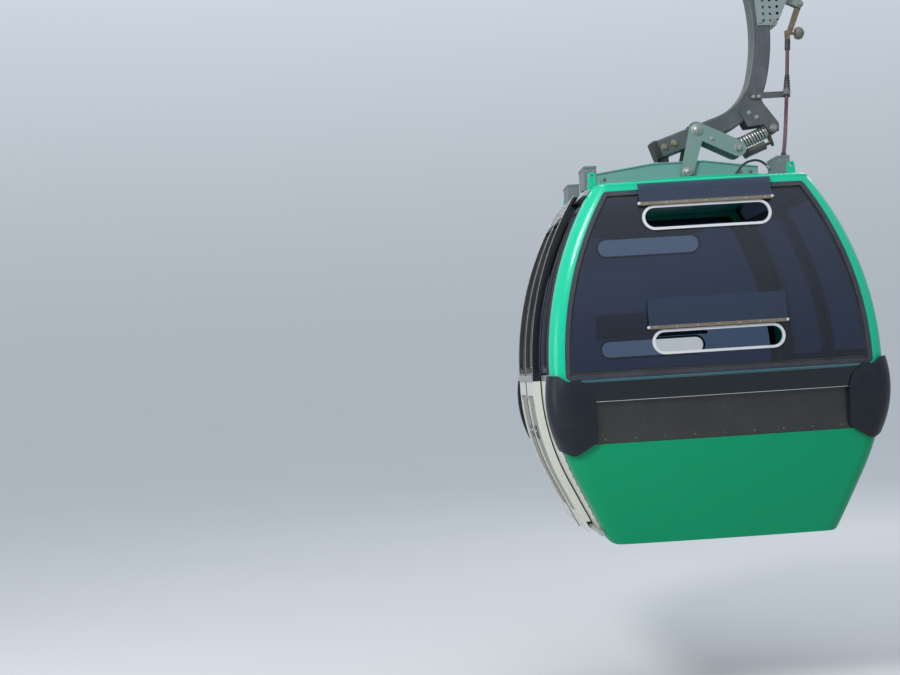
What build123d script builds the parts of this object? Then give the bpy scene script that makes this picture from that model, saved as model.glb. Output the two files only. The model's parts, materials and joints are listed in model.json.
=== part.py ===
from build123d import *
from collections import namedtuple
from functools import lru_cache
import math
import os

# Cable car cabin, hanger and grip. Millimetres, +Z up, +Y along the rope, origin on the rope's
# axis in the middle of the grip's jaws. Heights on the cabin are given as a drop below the roof
# edge, which itself hangs ROPE_ABOVE_ROOF below the rope. The arm bows out to +X, the doors are
# on -X, and the end at -Y is called front.

ROPE_ABOVE_ROOF = 1950.0
ROOF_Z = -ROPE_ABOVE_ROOF

# Cabin across: roof arc, short upright at the belt, lower arc and straight lean to the bottom
BELT_HALF_WIDTH = 887.0
BELT_TOP = 1000.0
BELT_FOOT = 1060.0
SIDE_UPPER_R = 1782.0
SIDE_LOWER_R = 1227.0
SIDE_LEAN_DEG = 25.4
BOTTOM_DROP = 1915.0
BOTTOM_CORNER_R = 68.0
ROOF_CORNER_R = 90.0

# Cabin along: the ends lean by two arcs and bulge in plan
BELT_HALF_LENGTH = 930.0
END_UPPER_R = 4386.0
END_LOWER_R = 2877.0
END_BULGE_R = 9000.0
END_SWEEP_DEG = 18.0
WALL = 40.0
CORNER_R = 90.0
ROOF_LIP = 20.0
ROOF_EDGE_R = 16.0
END_WRAP = 135.0
REACH = 1300.0

# End walls: green hoop round the window, belt beam, lower panel, corner bumpers
HOOP_FACE = 75.0
HOOP_TOP = 45.0
WINDOW_BOTTOM = 1035.0
WINDOW_CORNER_R = 28.0
BELT_BOTTOM = 1375.0
BELT_HALF_SPAN = 790.0
BELT_LIP_BOTTOM = 1155.0
BELT_LIP_PROUD = 14.0
BELT_RECESS = 6.0
BUMPER_CORNER_R = 40.0
BUMPER_CORNERS = [(960, 1028), (905, 1003), (850, 1008), (812, 1038), (742, 1046), (690, 1085),
                  (668, 1150), (664, 1362), (790, 1436), (960, 1352)]
BUMPER_DROPS = (985.0, 1205.0, 1440.0)
BUMPER_SIDE_PROUD = (12.0, 34.0, 14.0)
BUMPER_END_PROUD = (24.0, 44.0, 22.0)
BUMPER_MIDDLE_X = 800.0
BUMPER_PLAN_R = 1500.0
BUMPER_SWEEP_DEG = 24.0
BUMPER_EDGE_R = 110.0
END_ROOM = 500.0

# Glazing
GLASS = 6.0
GLASS_IN = 10.0
GASKET = 25.0
GASKET_PROUD = 2.0
GASKET_DEPTH = 24.0
FIT_GAP = 0.2

# Vents in the end windows, with flaps folded up above them
Vent = namedtuple("Vent", "drop width height flap_top flap_bottom flap_width")
VENTS = [
    Vent(203.0, 690.0, 134.0, 14.0, 116.0, 710.0),
    Vent(863.0, 700.0, 130.0, 632.0, 776.0, 730.0),
]
VENT_TRIM = 14.0
VENT_TRIM_PROUD = 5.0
FLAP_STANDOFF = 11.0
FLAP_THICK = 5.0
HINGE_HEIGHT = 18.0

# Door side (-X): a clear doorway, two leaves hung outside it on two rails
DOOR_HALF_WIDTH = 372.0
DOOR_PILLAR = 70.0
DOOR_TOP = 70.0
DOOR_BOTTOM = 1825.0
LEAF_GAP = 4.0
LEAF_WIDTH = 400.0
LEAF_CLEAR = 8.0
LEAF_THICK = 40.0
LEAF_TOP = 14.0
LEAF_BOTTOM = 1880.0
LEAF_SKIN = 16.0
LEAF_LIP = 7.0
LEAF_STILE = 45.0
LEAF_GLASS_TOP = 112.0
LEAF_GLASS_BOTTOM = 985.0
LEAF_CORNER_R = 40.0
LEAF_RECESS = 8.0
LEAF_RECESS_TOP = 1110.0
LEAF_RECESS_BOTTOM = 1770.0
RAIL_THICK = 22.0
RAIL_HEIGHT = 30.0
RAIL_TOP_DROP = 21.3
RAIL_BOTTOM_DROP = 1838.0
RAIL_SET = 190.0
RAIL_HALF_LENGTH = BELT_HALF_LENGTH - RAIL_SET

# Fixed side windows
SIDE_WINDOW_TOP = 95.0
SIDE_WINDOW_BOTTOM = 985.0
SIDE_WINDOW_STILE = 45.0
SIDE_WINDOW_R = 45.0
SIDE_PILLAR_HALF = 48.0
SIDE_CUT = (400.0, 1100.0)

# Roof: domed panel with lugs, cross beam, short door-gear boxes
DOME_R = 7400.0
DOME_RISE = 55.0
DOME_INSET = 30.0
LUG_X = 555.0
LUG_Y = 545.0
LUG_WIDTH = 50.0
LUG_TOP_WIDTH = 36.0
LUG_ROOT = 18.0
LUG_THICK = 24.0
LUG_HEIGHT = 98.0
LUG_HOLE_R = 9.0
BOX_X = 546.0
BOX_Y = 350.0
BOX_WIDTH = 70.0
BOX_LENGTH = 200.0
BOX_TOP = 145.0
BEAM_HALF_DEPTH = 50.0
BEAM_PLATEAU = 200.0
BEAM_PLATEAU_LEFT = -110.0
BEAM_PLATEAU_RIGHT = 190.0
BEAM_END_HEIGHT = 150.0

# Floor and benches
FLOOR_TOP = 1868.0
SKID_X = 300.0
SKID_WIDTH = 60.0
SKID_DEPTH = 22.0
SKID_HALF_LENGTH = 620.0
SEAT_DROP = 1450.0
SEAT_THICK = 40.0
SEAT_DEPTH = 430.0
SEAT_HALF_WIDTH = 720.0
SEAT_BACK_TOP = 1010.0
SEAT_BACK_THICK = 36.0
SEAT_PLINTH_HALF = 540.0
SEAT_PLINTH_SET = 110.0

# Hanger: a square tube in one plane, from its closed lower end to the hub on the swing pin
TUBE = 110.0
TUBE_R = 12.0
TUBE_WALL = 8.0
TUBE_FOOT_X = -85.0
TUBE_FOOT_RISE = 278.0
TUBE_RISE_DEG = 18.5
ELBOW_R = 380.0
ELBOW_DEG = 56.0
BOW_DEG = 64.4
HEAD_DEG = 7.5
NECK_PAST_HUB = 14.1421
NECK_BELOW_PIN = 1.1486
TUBE_CAP = 14.0
HUB_X = 175.0
HUB_LENGTH = 130.0
HUB_R = 52.0
PIN_R = 25.0
RUNNING_GAP = 0.05
PIN_DROP = 95.0
PIN_CAP_R = 37.0
PIN_CAP_ROOM = 6.0
PIN_CAP = 15.5
PIN_SIDE_PLAY = 0.5

# Suspension of the cabin on the lower end of the tube, as X and height
CRANK_PIVOT = (160.0, ROOF_Z + 384.0)
CRANK_FOOT = (88.0, ROOF_Z + 140.0)
CRANK_ARM = (398.0, ROOF_Z + 264.0)
CRANK_PIVOT_R = 46.0
CRANK_FOOT_R = 38.0
CRANK_ARM_R = 48.0
CRANK_PIN_R = 16.0
CRANK_PLATE = 12.0
CRANK_GAP = 3.0
PIN_HEAD = 14.0
PAD_LOW_X = -62.0
PAD_HIGH_X = -12.0
PAD_HALF = 40.0
SPRING_START = (398.0, ROOF_Z + 287.0)
SPRING_DEG = 21.3
SPRING_LENGTH = 236.0
SPRING_R = 36.0
SPRING_WIRE_R = 7.5
SPRING_TURNS = 9
SPRING_ROD_R = 13.0
SPRING_SEAT = 8.0
DAMPER_R = 20.0
DAMPER_BELOW = 60.0
DAMPER_BODY = 110.0

# Door gear on the hanger: bracket, lever, roller, cable and its guide, as X and height
LEVER_PIVOT = (838.0, ROOF_Z + 1112.0)
LEVER_FOOT = (776.0, ROOF_Z + 962.0)
LEVER_THICK = 16.0
LEVER_SHAFT_R = 9.0
LEVER_COLLAR_R = 15.0
LEVER_SHAFT_Z = ROOF_Z + 941.0
ROLLER_X = 826.0
ROLLER_R = 38.0
ROLLER_WIDTH = 42.0
BRACKET_PLATE = 6.0
BRACKET_HOLE_R = 9.0
CABLE_R = 11.0
CABLE_TOP = ROOF_Z + 905.0
CABLE_ROUTE = [(759.0, 3.0, ROOF_Z + 918.0), (703.0, -84.0, ROOF_Z + 558.0),
               (610.0, -300.0, ROOF_Z + 270.0), (568.0, -380.0, ROOF_Z + 146.0)]
GUIDE_START_X = 490.0
GUIDE_HEIGHT = 36.0
GUIDE_THICK = 10.0
GUIDE_PLAY = 3.0
GUIDE_RING = 7.0
HOSE_R = 7.0
HOSE_ROUTE = [(511.0, -300.0, ROOF_Z + 104.0), (445.0, -300.0, ROOF_Z + 158.0),
              (360.0, -300.0, ROOF_Z + 140.0), (285.0, -300.0, ROOF_Z + 44.0)]

# Grip on the rope
ROPE_R = 20.0
JAW_HALF = 120.0
JAW_GAP = 3.0
GRIP_REAR_X = 96.0
GRIP_TOP = 78.0
CARRIER_HALF = 215.0
WHEEL_R = 75.0
WHEEL_WIDTH = 46.0
WHEEL_X = 150.0
WHEEL_Y = 160.0
WHEEL_Z = 62.0
AXLE_R = 14.0
AXLE_HEAD = 8.0
CARRIER_X = 120.0
CARRIER_LOW = 42.0
CARRIER_TOP = GRIP_TOP
CLOSER_X = 66.0
CLOSER_Y = 78.0
CLOSER_FOOT = 112.0
CLOSER_FIRST = 119.0
CLOSER_PITCH = 13.0
CLOSER_TURNS = 4
CLOSER_R = 20.0
CLOSER_WIRE_R = 5.5
CLOSER_ROD_R = 14.0
PLATE_Z = 165.0
PLATE_THICK = 12.0
BOSS_HALF = 60.0
BOSS_LOW_X = 34.0


def side_x(drop, grow=0.0):
    """Half width of the shell at a drop, grown outwards."""
    lean = math.radians(SIDE_LEAN_DEG)
    if drop <= BELT_TOP:
        radius = SIDE_UPPER_R + grow
        return BELT_HALF_WIDTH - SIDE_UPPER_R + math.sqrt(radius ** 2 - (BELT_TOP - drop) ** 2)
    radius = SIDE_LOWER_R + grow
    fall = max(drop - BELT_FOOT, 0.0)
    if fall <= radius * math.sin(lean):
        return BELT_HALF_WIDTH - SIDE_LOWER_R + math.sqrt(radius ** 2 - fall ** 2)
    arc_x = BELT_HALF_WIDTH - SIDE_LOWER_R + radius * math.cos(lean)
    return arc_x - (fall - radius * math.sin(lean)) * math.tan(lean)


def end_y(drop, grow=0.0):
    """Half length of the shell on its middle line at a drop, grown outwards."""
    arc_r = END_UPPER_R if drop <= BELT_FOOT else END_LOWER_R
    return BELT_HALF_LENGTH - arc_r + math.sqrt((arc_r + grow) ** 2 - (BELT_FOOT - drop) ** 2)


def at(across, drop):
    """Point of an upright sketch, from a distance across and a drop below the roof edge."""
    return (across, ROOF_Z - drop)


def along_x(sketch, low, high):
    """Solid from a sketch drawn in Y and Z."""
    return extrude(Plane.YZ.offset(low) * sketch, amount=high - low)


def along_y(sketch, low, high):
    """Solid from a sketch drawn in X and Z."""
    return extrude(Plane.XZ.offset(-high) * sketch, amount=high - low)


def along_z(sketch, low, high):
    """Solid from a sketch drawn in X and Y."""
    return extrude(Plane.XY.offset(low) * sketch, amount=high - low)


def block(x, y, z):
    """Box between two values along each axis."""
    low, high = zip(x, y, z)
    size = [b - a for a, b in zip(low, high)]
    return Pos(*[(a + b) / 2 for a, b in zip(low, high)]) * Box(*size)


def polygon(points):
    """Flat sketch from its corners."""
    return make_face(Polyline(*points, close=True))


def rectangle(low_a, high_a, low_b, high_b):
    """Flat sketch between two values along each of its axes."""
    return polygon([(low_a, low_b), (high_a, low_b), (high_a, high_b), (low_a, high_b)])


def rod(start, end, radius):
    """Round bar between two points."""
    line = Line(start, end)
    return extrude(Plane(origin=start, z_dir=line % 0) * Circle(radius), amount=line.length)


def link(first, second, first_r, second_r):
    """Flat link outline: two round ends and the lines that wrap them."""
    ends = [Pos(*first) * Circle(first_r), Pos(*second) * Circle(second_r)]
    return make_hull([edge for end in ends for edge in end.edges()])


def plan(wide, long, corner):
    """Horizontal outline: straight sides, round corners and bulged ends."""
    bulge_y = END_BULGE_R - long
    corner_x = wide - corner
    corner_y = math.sqrt((END_BULGE_R - corner) ** 2 - corner_x ** 2) - bulge_y
    lean = math.atan2(corner_x, corner_y + bulge_y)
    touch = (END_BULGE_R * math.sin(lean), END_BULGE_R * math.cos(lean) - bulge_y)
    half = (math.pi / 2 + lean) / 2
    middle = (corner_x + corner * math.sin(half), corner_y + corner * math.cos(half))
    edges = []
    for sign in (1, -1):
        edges.append(Line((wide * sign, -corner_y * sign), (wide * sign, corner_y * sign)))
        edges.append(ThreePointArc((wide * sign, corner_y * sign), (middle[0] * sign, middle[1] * sign),
                                   (touch[0] * sign, touch[1] * sign)))
        edges.append(ThreePointArc((touch[0] * sign, touch[1] * sign), (0, long * sign),
                                   (-touch[0] * sign, touch[1] * sign)))
        edges.append(ThreePointArc((-touch[0] * sign, touch[1] * sign),
                                   (-middle[0] * sign, middle[1] * sign), (-wide * sign, corner_y * sign)))
    return make_face(edges)


def side_edges(grow, sign):
    """Edges of one side of the cabin's cross section, from the roof down."""
    lean = math.radians(SIDE_LEAN_DEG)
    radius = SIDE_LOWER_R + grow
    bow = [(sign * (BELT_HALF_WIDTH - SIDE_LOWER_R + radius * math.cos(turn)),
            ROOF_Z - BELT_FOOT - radius * math.sin(turn)) for turn in (lean / 2, lean)]
    top = at(sign * side_x(0.0, grow), 0.0)
    belt = [at(sign * (BELT_HALF_WIDTH + grow), drop) for drop in (BELT_TOP, BELT_FOOT)]
    return [ThreePointArc(top, at(sign * side_x(BELT_TOP / 2, grow), BELT_TOP / 2), belt[0]),
            Line(*belt), ThreePointArc(belt[1], *bow),
            Line(bow[1], at(sign * side_x(BOTTOM_DROP, grow), BOTTOM_DROP))]


@lru_cache(maxsize=None)
def cross_section(grow):
    """Sketch in X and Z of the whole cabin, grown outwards."""
    right, left = side_edges(grow, 1), side_edges(grow, -1)
    caps = [Line(left[0] @ 0, right[0] @ 0), Line(left[-1] @ 1, right[-1] @ 1)]
    return make_face([*right, *left, *caps])


@lru_cache(maxsize=None)
def side_layer(outer, inner):
    """Skin of both sides between two growths."""
    return along_y(cross_section(outer) - cross_section(inner), -REACH, REACH)


@lru_cache(maxsize=None)
def behind_end(grow):
    """Everything behind the front end's surface, grown outwards: its profile turned about an upright."""
    top, belt, low = [(-end_y(drop, grow), ROOF_Z - drop) for drop in (0.0, BELT_FOOT, BOTTOM_DROP)]
    upper = at(-end_y(BELT_FOOT / 2, grow), BELT_FOOT / 2)
    middle = (BELT_FOOT + BOTTOM_DROP) / 2
    lower = at(-end_y(middle, grow), middle)
    shape = make_face([ThreePointArc(top, upper, belt), ThreePointArc(belt, lower, low),
                       Polyline(low, at(REACH, BOTTOM_DROP), at(REACH, 0.0), top)])
    upright = Axis((0, END_BULGE_R - BELT_HALF_LENGTH, 0), (0, 0, 1))
    shape = (Plane.YZ * shape).rotate(upright, -END_SWEEP_DEG / 2)
    return revolve(shape, axis=upright, revolution_arc=END_SWEEP_DEG)


@lru_cache(maxsize=None)
def end_layer(outer, inner):
    """Skin of the front end between two growths."""
    return behind_end(outer) - behind_end(inner)


@lru_cache(maxsize=None)
def front_form(grow):
    """Front part of the cabin as one solid with round corners, grown outwards."""
    shape = along_y(cross_section(grow), -REACH, -END_ROOM) & behind_end(grow)
    corners = [edge for edge in shape.edges()
               if edge.bounding_box().size.Z > 20 and edge.center().Y < -END_ROOM - 20]
    corners = [edge for edge in corners if abs(edge.center().X) > side_x(BOTTOM_DROP) - WALL]
    return fillet(corners, CORNER_R + grow)


@lru_cache(maxsize=None)
def inside(grow):
    """Room behind the front end's inner face."""
    return along_y(cross_section(grow), -REACH, 0) & behind_end(grow)


@lru_cache(maxsize=None)
def corner_wall():
    """Wall of the front end with its round corners, below the roof panel."""
    return (front_form(0.0) - inside(-WALL)) - above(ROOF_LIP)


def above(drop):
    """Everything higher than a drop."""
    return block((-REACH, REACH), (-REACH, REACH), (ROOF_Z - drop, ROOF_Z + REACH))


def end_zone():
    """Sketch in Y and Z of the front end, ahead of the line where the side frames start."""
    drops = [0.0, BELT_FOOT / 2, BELT_FOOT, BELT_BOTTOM, BOTTOM_DROP]
    line = [at(END_WRAP - end_y(drop), drop) for drop in drops]
    return polygon([at(-REACH, -200), at(END_WRAP - end_y(0.0), -200), *line,
                    at(END_WRAP - end_y(BOTTOM_DROP), BOTTOM_DROP + 200), at(-REACH, BOTTOM_DROP + 200)])


def front_window(shrink):
    """Sketch in X and Z of the end window, shrunk by a margin."""
    rows = [HOOP_TOP, 480.0, WINDOW_BOTTOM]
    top, mid, low = [side_x(drop) - HOOP_FACE for drop in rows]
    right = ThreePointArc(at(top, rows[0]), at(mid, rows[1]), at(low, rows[2]))
    left = ThreePointArc(at(-top, rows[0]), at(-mid, rows[1]), at(-low, rows[2]))
    shape = make_face([right, left, Line(at(-top, rows[0]), at(top, rows[0])),
                       Line(at(-low, rows[2]), at(low, rows[2]))])
    shape = fillet(shape.vertices(), WINDOW_CORNER_R)
    return offset(shape, amount=-shrink) if shrink else shape


def side_window(near, shrink):
    """Sketch in Y and Z of a fixed side window between a stile and the end hoop."""
    rows = [SIDE_WINDOW_TOP, 560.0, SIDE_WINDOW_BOTTOM]
    far = [end_y(drop) - END_WRAP - SIDE_WINDOW_STILE for drop in rows]
    corners = [at(-near, rows[0]), *[at(-y, drop) for y, drop in zip(far, rows)],
               at(-near, rows[2])]
    shape = polygon(corners)
    ends = [v for v in shape.vertices() if abs(v.Y - (ROOF_Z - rows[1])) > 1]
    shape = fillet(ends, SIDE_WINDOW_R)
    return offset(shape, amount=-shrink) if shrink else shape


def slot(vent, margin):
    """Sketch in X and Z of one vent, shrunk by a margin."""
    size = (vent.width - 2 * margin, vent.height - 2 * margin)
    return Pos(0, ROOF_Z - vent.drop) * SlotOverall(*size)


def behind(shape):
    """The same piece at the rear end."""
    return mirror(shape, about=Plane.XZ)


def through_end(sketch):
    """Prism through the front end of a sketch in X and Z."""
    return along_y(sketch, -REACH, -END_ROOM)


def belt_field(top, bottom):
    """Sketch in X and Z of a strip of the belt beam."""
    return rectangle(-BELT_HALF_SPAN, BELT_HALF_SPAN, ROOF_Z - bottom, ROOF_Z - top)


def bumper_field():
    """Sketch in X and Z of the right bumper."""
    shape = polygon([at(x, drop) for x, drop in BUMPER_CORNERS])
    return fillet(shape.vertices().sort_by(Axis.X)[:-2], BUMPER_CORNER_R)


@lru_cache(maxsize=None)
def bumper_rooms():
    """Prisms through the front end where both bumpers go."""
    room = through_end(bumper_field())
    return room + mirror(room, about=Plane.YZ)


@lru_cache(maxsize=None)
def bumper_form():
    """Right front corner of the cabin, bulged by an arc down the side and one down the end."""
    sink = END_BULGE_R - math.sqrt(END_BULGE_R ** 2 - BUMPER_MIDDLE_X ** 2)
    top, foot = BUMPER_DROPS[0], BUMPER_DROPS[-1]
    side = [at(side_x(drop) + proud, drop) for drop, proud in zip(BUMPER_DROPS, BUMPER_SIDE_PROUD)]
    end = [at(sink - end_y(drop) - proud, drop) for drop, proud in zip(BUMPER_DROPS, BUMPER_END_PROUD)]
    side = make_face([ThreePointArc(*side), Polyline(side[2], at(0, foot), at(0, top), side[0])])
    end = make_face([ThreePointArc(*end), Polyline(end[2], at(-END_ROOM, foot), at(-END_ROOM, top), end[0])])
    upright = Axis((BUMPER_MIDDLE_X, BUMPER_PLAN_R + sink - BELT_HALF_LENGTH, 0), (0, 0, 1))
    end = (Plane.YZ.offset(BUMPER_MIDDLE_X) * end).rotate(upright, -BUMPER_SWEEP_DEG / 2)
    form = along_y(side, -REACH, -END_ROOM) & revolve(end, axis=upright, revolution_arc=BUMPER_SWEEP_DEG)
    corner = [edge for edge in form.edges() if edge.bounding_box().size.Z > BUMPER_CORNER_R
              and edge.center().X > BUMPER_MIDDLE_X and edge.center().Y < -END_ROOM - BUMPER_CORNER_R]
    return fillet(corner, BUMPER_EDGE_R)


@lru_cache(maxsize=None)
def edge_waste(drop, radius, lean, up):
    """What a round edge along both sides leaves out, at a level face that looks up (1) or down (-1)."""
    touch = radius * math.tan((math.pi / 2 - lean) / 2)
    edge, level = side_x(drop), ROOF_Z - drop
    low, high = sorted((level + up, level - up * touch * math.cos(lean)))
    corner = rectangle(edge - touch, edge + radius, low, high)
    corner -= Pos(edge - touch, level - up * radius) * Circle(radius)
    waste = along_y(corner, -REACH, REACH)
    return waste + mirror(waste, about=Plane.YZ)


def roof_waste():
    """What the round edges of the roof leave out."""
    lean = math.asin((BELT_TOP - ROOF_LIP) / SIDE_UPPER_R)
    return edge_waste(0.0, ROOF_CORNER_R, lean, 1)


def bottom_waste():
    """What the round lower edges of the cabin leave out."""
    return edge_waste(BOTTOM_DROP, BOTTOM_CORNER_R, math.radians(SIDE_LEAN_DEG), -1)


def end_part(low, high):
    """Green wall of the front end between two drops, without the bumpers' rooms."""
    zone = along_x(end_zone(), -1000, 1000)
    span = block((-REACH, REACH), (-REACH, 0), (ROOF_Z - high, ROOF_Z - low))
    return (corner_wall() & zone & span) - bumper_rooms()


def end_hoop():
    """Green hoop of the front end: two pillars and the rail over the window."""
    window = through_end(front_window(0))
    beam = through_end(belt_field(WINDOW_BOTTOM, BELT_BOTTOM))
    return end_part(0.0, BELT_BOTTOM) - window - beam - roof_waste()


def end_panel():
    """Green lower panel of the front end."""
    return end_part(BELT_BOTTOM, BOTTOM_DROP) - bottom_waste()


def belt_beam():
    """Dark beam between the bumpers: a proud lip over a recessed band."""
    lip = end_layer(BELT_LIP_PROUD, -WALL) & through_end(belt_field(WINDOW_BOTTOM, BELT_LIP_BOTTOM))
    band = end_layer(-BELT_RECESS, -WALL) & through_end(belt_field(BELT_LIP_BOTTOM, BELT_BOTTOM))
    return (lip + band) - bumper_rooms()


def bumpers():
    """Corner bumpers of the front end."""
    zone = along_x(end_zone(), -REACH, REACH)
    right = (bumper_form() - inside(-WALL)) & through_end(bumper_field()) & zone
    return Compound(children=[*right.solids(), *mirror(right, about=Plane.YZ).solids()])


def end_window():
    """Glass of the front window, with both vents open in it."""
    pane = end_layer(-GLASS_IN, -GLASS_IN - GLASS) & through_end(front_window(GASKET + FIT_GAP))
    for vent in VENTS:
        pane -= through_end(slot(vent, VENT_TRIM))
    return pane


def main_gaskets():
    """Rubber rings of the end windows and of the fixed side windows."""
    end = end_layer(GASKET_PROUD, GASKET_PROUD - GASKET_DEPTH) & through_end(
        front_window(FIT_GAP) - front_window(GASKET))
    rings = [end, behind(end)]
    for near, sign in ((DOOR_HALF_WIDTH + DOOR_PILLAR, -1), (SIDE_PILLAR_HALF, 1)):
        ring = side_window(near, FIT_GAP) - side_window(near, GASKET)
        low, high = sorted((sign * SIDE_CUT[0], sign * SIDE_CUT[1]))
        side = side_layer(GASKET_PROUD, GASKET_PROUD - GASKET_DEPTH) & along_x(ring, low, high)
        rings += [side, behind(side)]
    return Compound(children=[solid for ring in rings for solid in ring.solids()])


def side_windows():
    """Fixed panes of both sides."""
    panes = []
    for near, sign in ((DOOR_HALF_WIDTH + DOOR_PILLAR, -1), (SIDE_PILLAR_HALF, 1)):
        low, high = sorted((sign * SIDE_CUT[0], sign * SIDE_CUT[1]))
        pane = side_layer(-GLASS_IN, -GLASS_IN - GLASS) & along_x(
            side_window(near, GASKET + FIT_GAP), low, high)
        panes += [pane, behind(pane)]
    return Compound(children=[solid for pane in panes for solid in pane.solids()])


def side_frame(sign):
    """Side wall between the end hoops, with its openings."""
    zone = along_x(end_zone(), -1000, 1000)
    half = block(sorted((0, sign * REACH)), (-REACH, REACH), (ROOF_Z - BOTTOM_DROP, ROOF_Z - ROOF_LIP))
    frame = (side_layer(0.0, -WALL) & half) - zone - behind(zone) - bottom_waste() - roof_waste()
    low, high = sorted((sign * SIDE_CUT[0], sign * SIDE_CUT[1]))
    near = DOOR_HALF_WIDTH + DOOR_PILLAR if sign < 0 else SIDE_PILLAR_HALF
    window = along_x(side_window(near, 0), low, high)
    frame = frame - window - behind(window)
    if sign < 0:
        doorway = rectangle(-DOOR_HALF_WIDTH, DOOR_HALF_WIDTH, ROOF_Z - DOOR_BOTTOM, ROOF_Z - DOOR_TOP)
        doorway = fillet(doorway.vertices(), SIDE_WINDOW_R)
        frame -= along_x(doorway, low, high)
    return frame


def leaf_zone(low, high, top, bottom, radius):
    """Solid across the door side that a leaf's outline or opening is cut with."""
    shape = rectangle(low, high, ROOF_Z - bottom, ROOF_Z - top)
    if radius:
        shape = fillet(shape.vertices(), radius)
    return along_x(shape, -1200, -300)


def leaf_span():
    """Y of the rear leaf's two edges."""
    return LEAF_GAP / 2, LEAF_GAP / 2 + LEAF_WIDTH


def door_leaf():
    """Rear leaf: a frame with a window over a recessed panel, hooked over the rails."""
    near, far = leaf_span()
    outer = LEAF_CLEAR + LEAF_THICK
    leaf = side_layer(outer, LEAF_CLEAR) & leaf_zone(near, far, LEAF_TOP, LEAF_BOTTOM, 0)
    groove = side_layer(outer - LEAF_SKIN, LEAF_CLEAR - 2)
    leaf -= groove & leaf_zone(near - 5, far + 5, LEAF_TOP + LEAF_LIP, DOOR_TOP, 0)
    leaf -= groove & leaf_zone(near - 5, far + 5, DOOR_BOTTOM, LEAF_BOTTOM + 5, 0)
    leaf -= leaf_zone(near + LEAF_STILE, far - LEAF_STILE, LEAF_GLASS_TOP, LEAF_GLASS_BOTTOM, LEAF_CORNER_R)
    recess = side_layer(outer + 2, outer - LEAF_RECESS)
    leaf -= recess & leaf_zone(near + LEAF_STILE, far - LEAF_STILE, LEAF_RECESS_TOP,
                               LEAF_RECESS_BOTTOM, LEAF_CORNER_R)
    return leaf


def leaf_pane():
    """Glass of the rear leaf."""
    near, far = leaf_span()
    inset_by = GASKET + FIT_GAP
    zone = leaf_zone(near + LEAF_STILE + inset_by, far - LEAF_STILE - inset_by, LEAF_GLASS_TOP + inset_by,
                     LEAF_GLASS_BOTTOM - inset_by, LEAF_CORNER_R - GASKET)
    outer = LEAF_CLEAR + LEAF_THICK - GLASS_IN
    return side_layer(outer, outer - GLASS) & zone


def leaf_gasket():
    """Rubber ring of the rear leaf's glass."""
    near, far = leaf_span()
    edges = (near + LEAF_STILE, far - LEAF_STILE, LEAF_GLASS_TOP, LEAF_GLASS_BOTTOM)
    outside = leaf_zone(edges[0] + FIT_GAP, edges[1] - FIT_GAP, edges[2] + FIT_GAP,
                        edges[3] - FIT_GAP, LEAF_CORNER_R)
    within = leaf_zone(edges[0] + GASKET, edges[1] - GASKET, edges[2] + GASKET,
                       edges[3] - GASKET, LEAF_CORNER_R - GASKET)
    outer = LEAF_CLEAR + LEAF_THICK + GASKET_PROUD
    return side_layer(outer, outer - GASKET_DEPTH) & (outside - within)


def door_rails():
    """Upper and lower rail that the leaves hook over."""
    rails = []
    for drop in (RAIL_TOP_DROP, RAIL_BOTTOM_DROP):
        zone = leaf_zone(-RAIL_HALF_LENGTH, RAIL_HALF_LENGTH, drop, drop + RAIL_HEIGHT, 0)
        rails += (side_layer(RAIL_THICK, 0.0) & zone).solids()
    return Compound(children=rails)


def vent_trims():
    """Pale rings round the vents."""
    rings = []
    for vent in VENTS:
        ring = slot(vent, 0) - slot(vent, VENT_TRIM - FIT_GAP)
        rings.append(end_layer(VENT_TRIM_PROUD, -GLASS_IN + FIT_GAP) & through_end(ring))
    rings += [behind(ring) for ring in rings]
    return Compound(children=[solid for ring in rings for solid in ring.solids()])


def vent_flaps():
    """Tinted flaps, folded up above the vents."""
    flaps = []
    for vent in VENTS:
        half = vent.flap_width / 2
        shape = rectangle(-half, half, ROOF_Z - vent.flap_bottom, ROOF_Z - vent.flap_top)
        flaps.append(end_layer(FLAP_STANDOFF + FLAP_THICK, FLAP_STANDOFF) & through_end(shape))
    flaps += [behind(flap) for flap in flaps]
    return Compound(children=[solid for flap in flaps for solid in flap.solids()])


def vent_hinges():
    """Hinge strips along the lower edges of the flaps, seated on the glass."""
    strips = []
    for vent in VENTS:
        half = vent.flap_width / 2
        top = ROOF_Z - vent.flap_bottom - FIT_GAP
        shape = rectangle(-half, half, top - HINGE_HEIGHT, top)
        strips.append(end_layer(FLAP_STANDOFF + FLAP_THICK, -GLASS_IN + FIT_GAP) & through_end(shape))
    strips += [behind(strip) for strip in strips]
    return Compound(children=[solid for strip in strips for solid in strip.solids()])


@lru_cache(maxsize=None)
def dome(grow):
    """Ball whose top is the crown of the roof."""
    return Pos(0, 0, ROOF_Z + DOME_RISE - DOME_R) * Sphere(DOME_R + grow)


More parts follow.
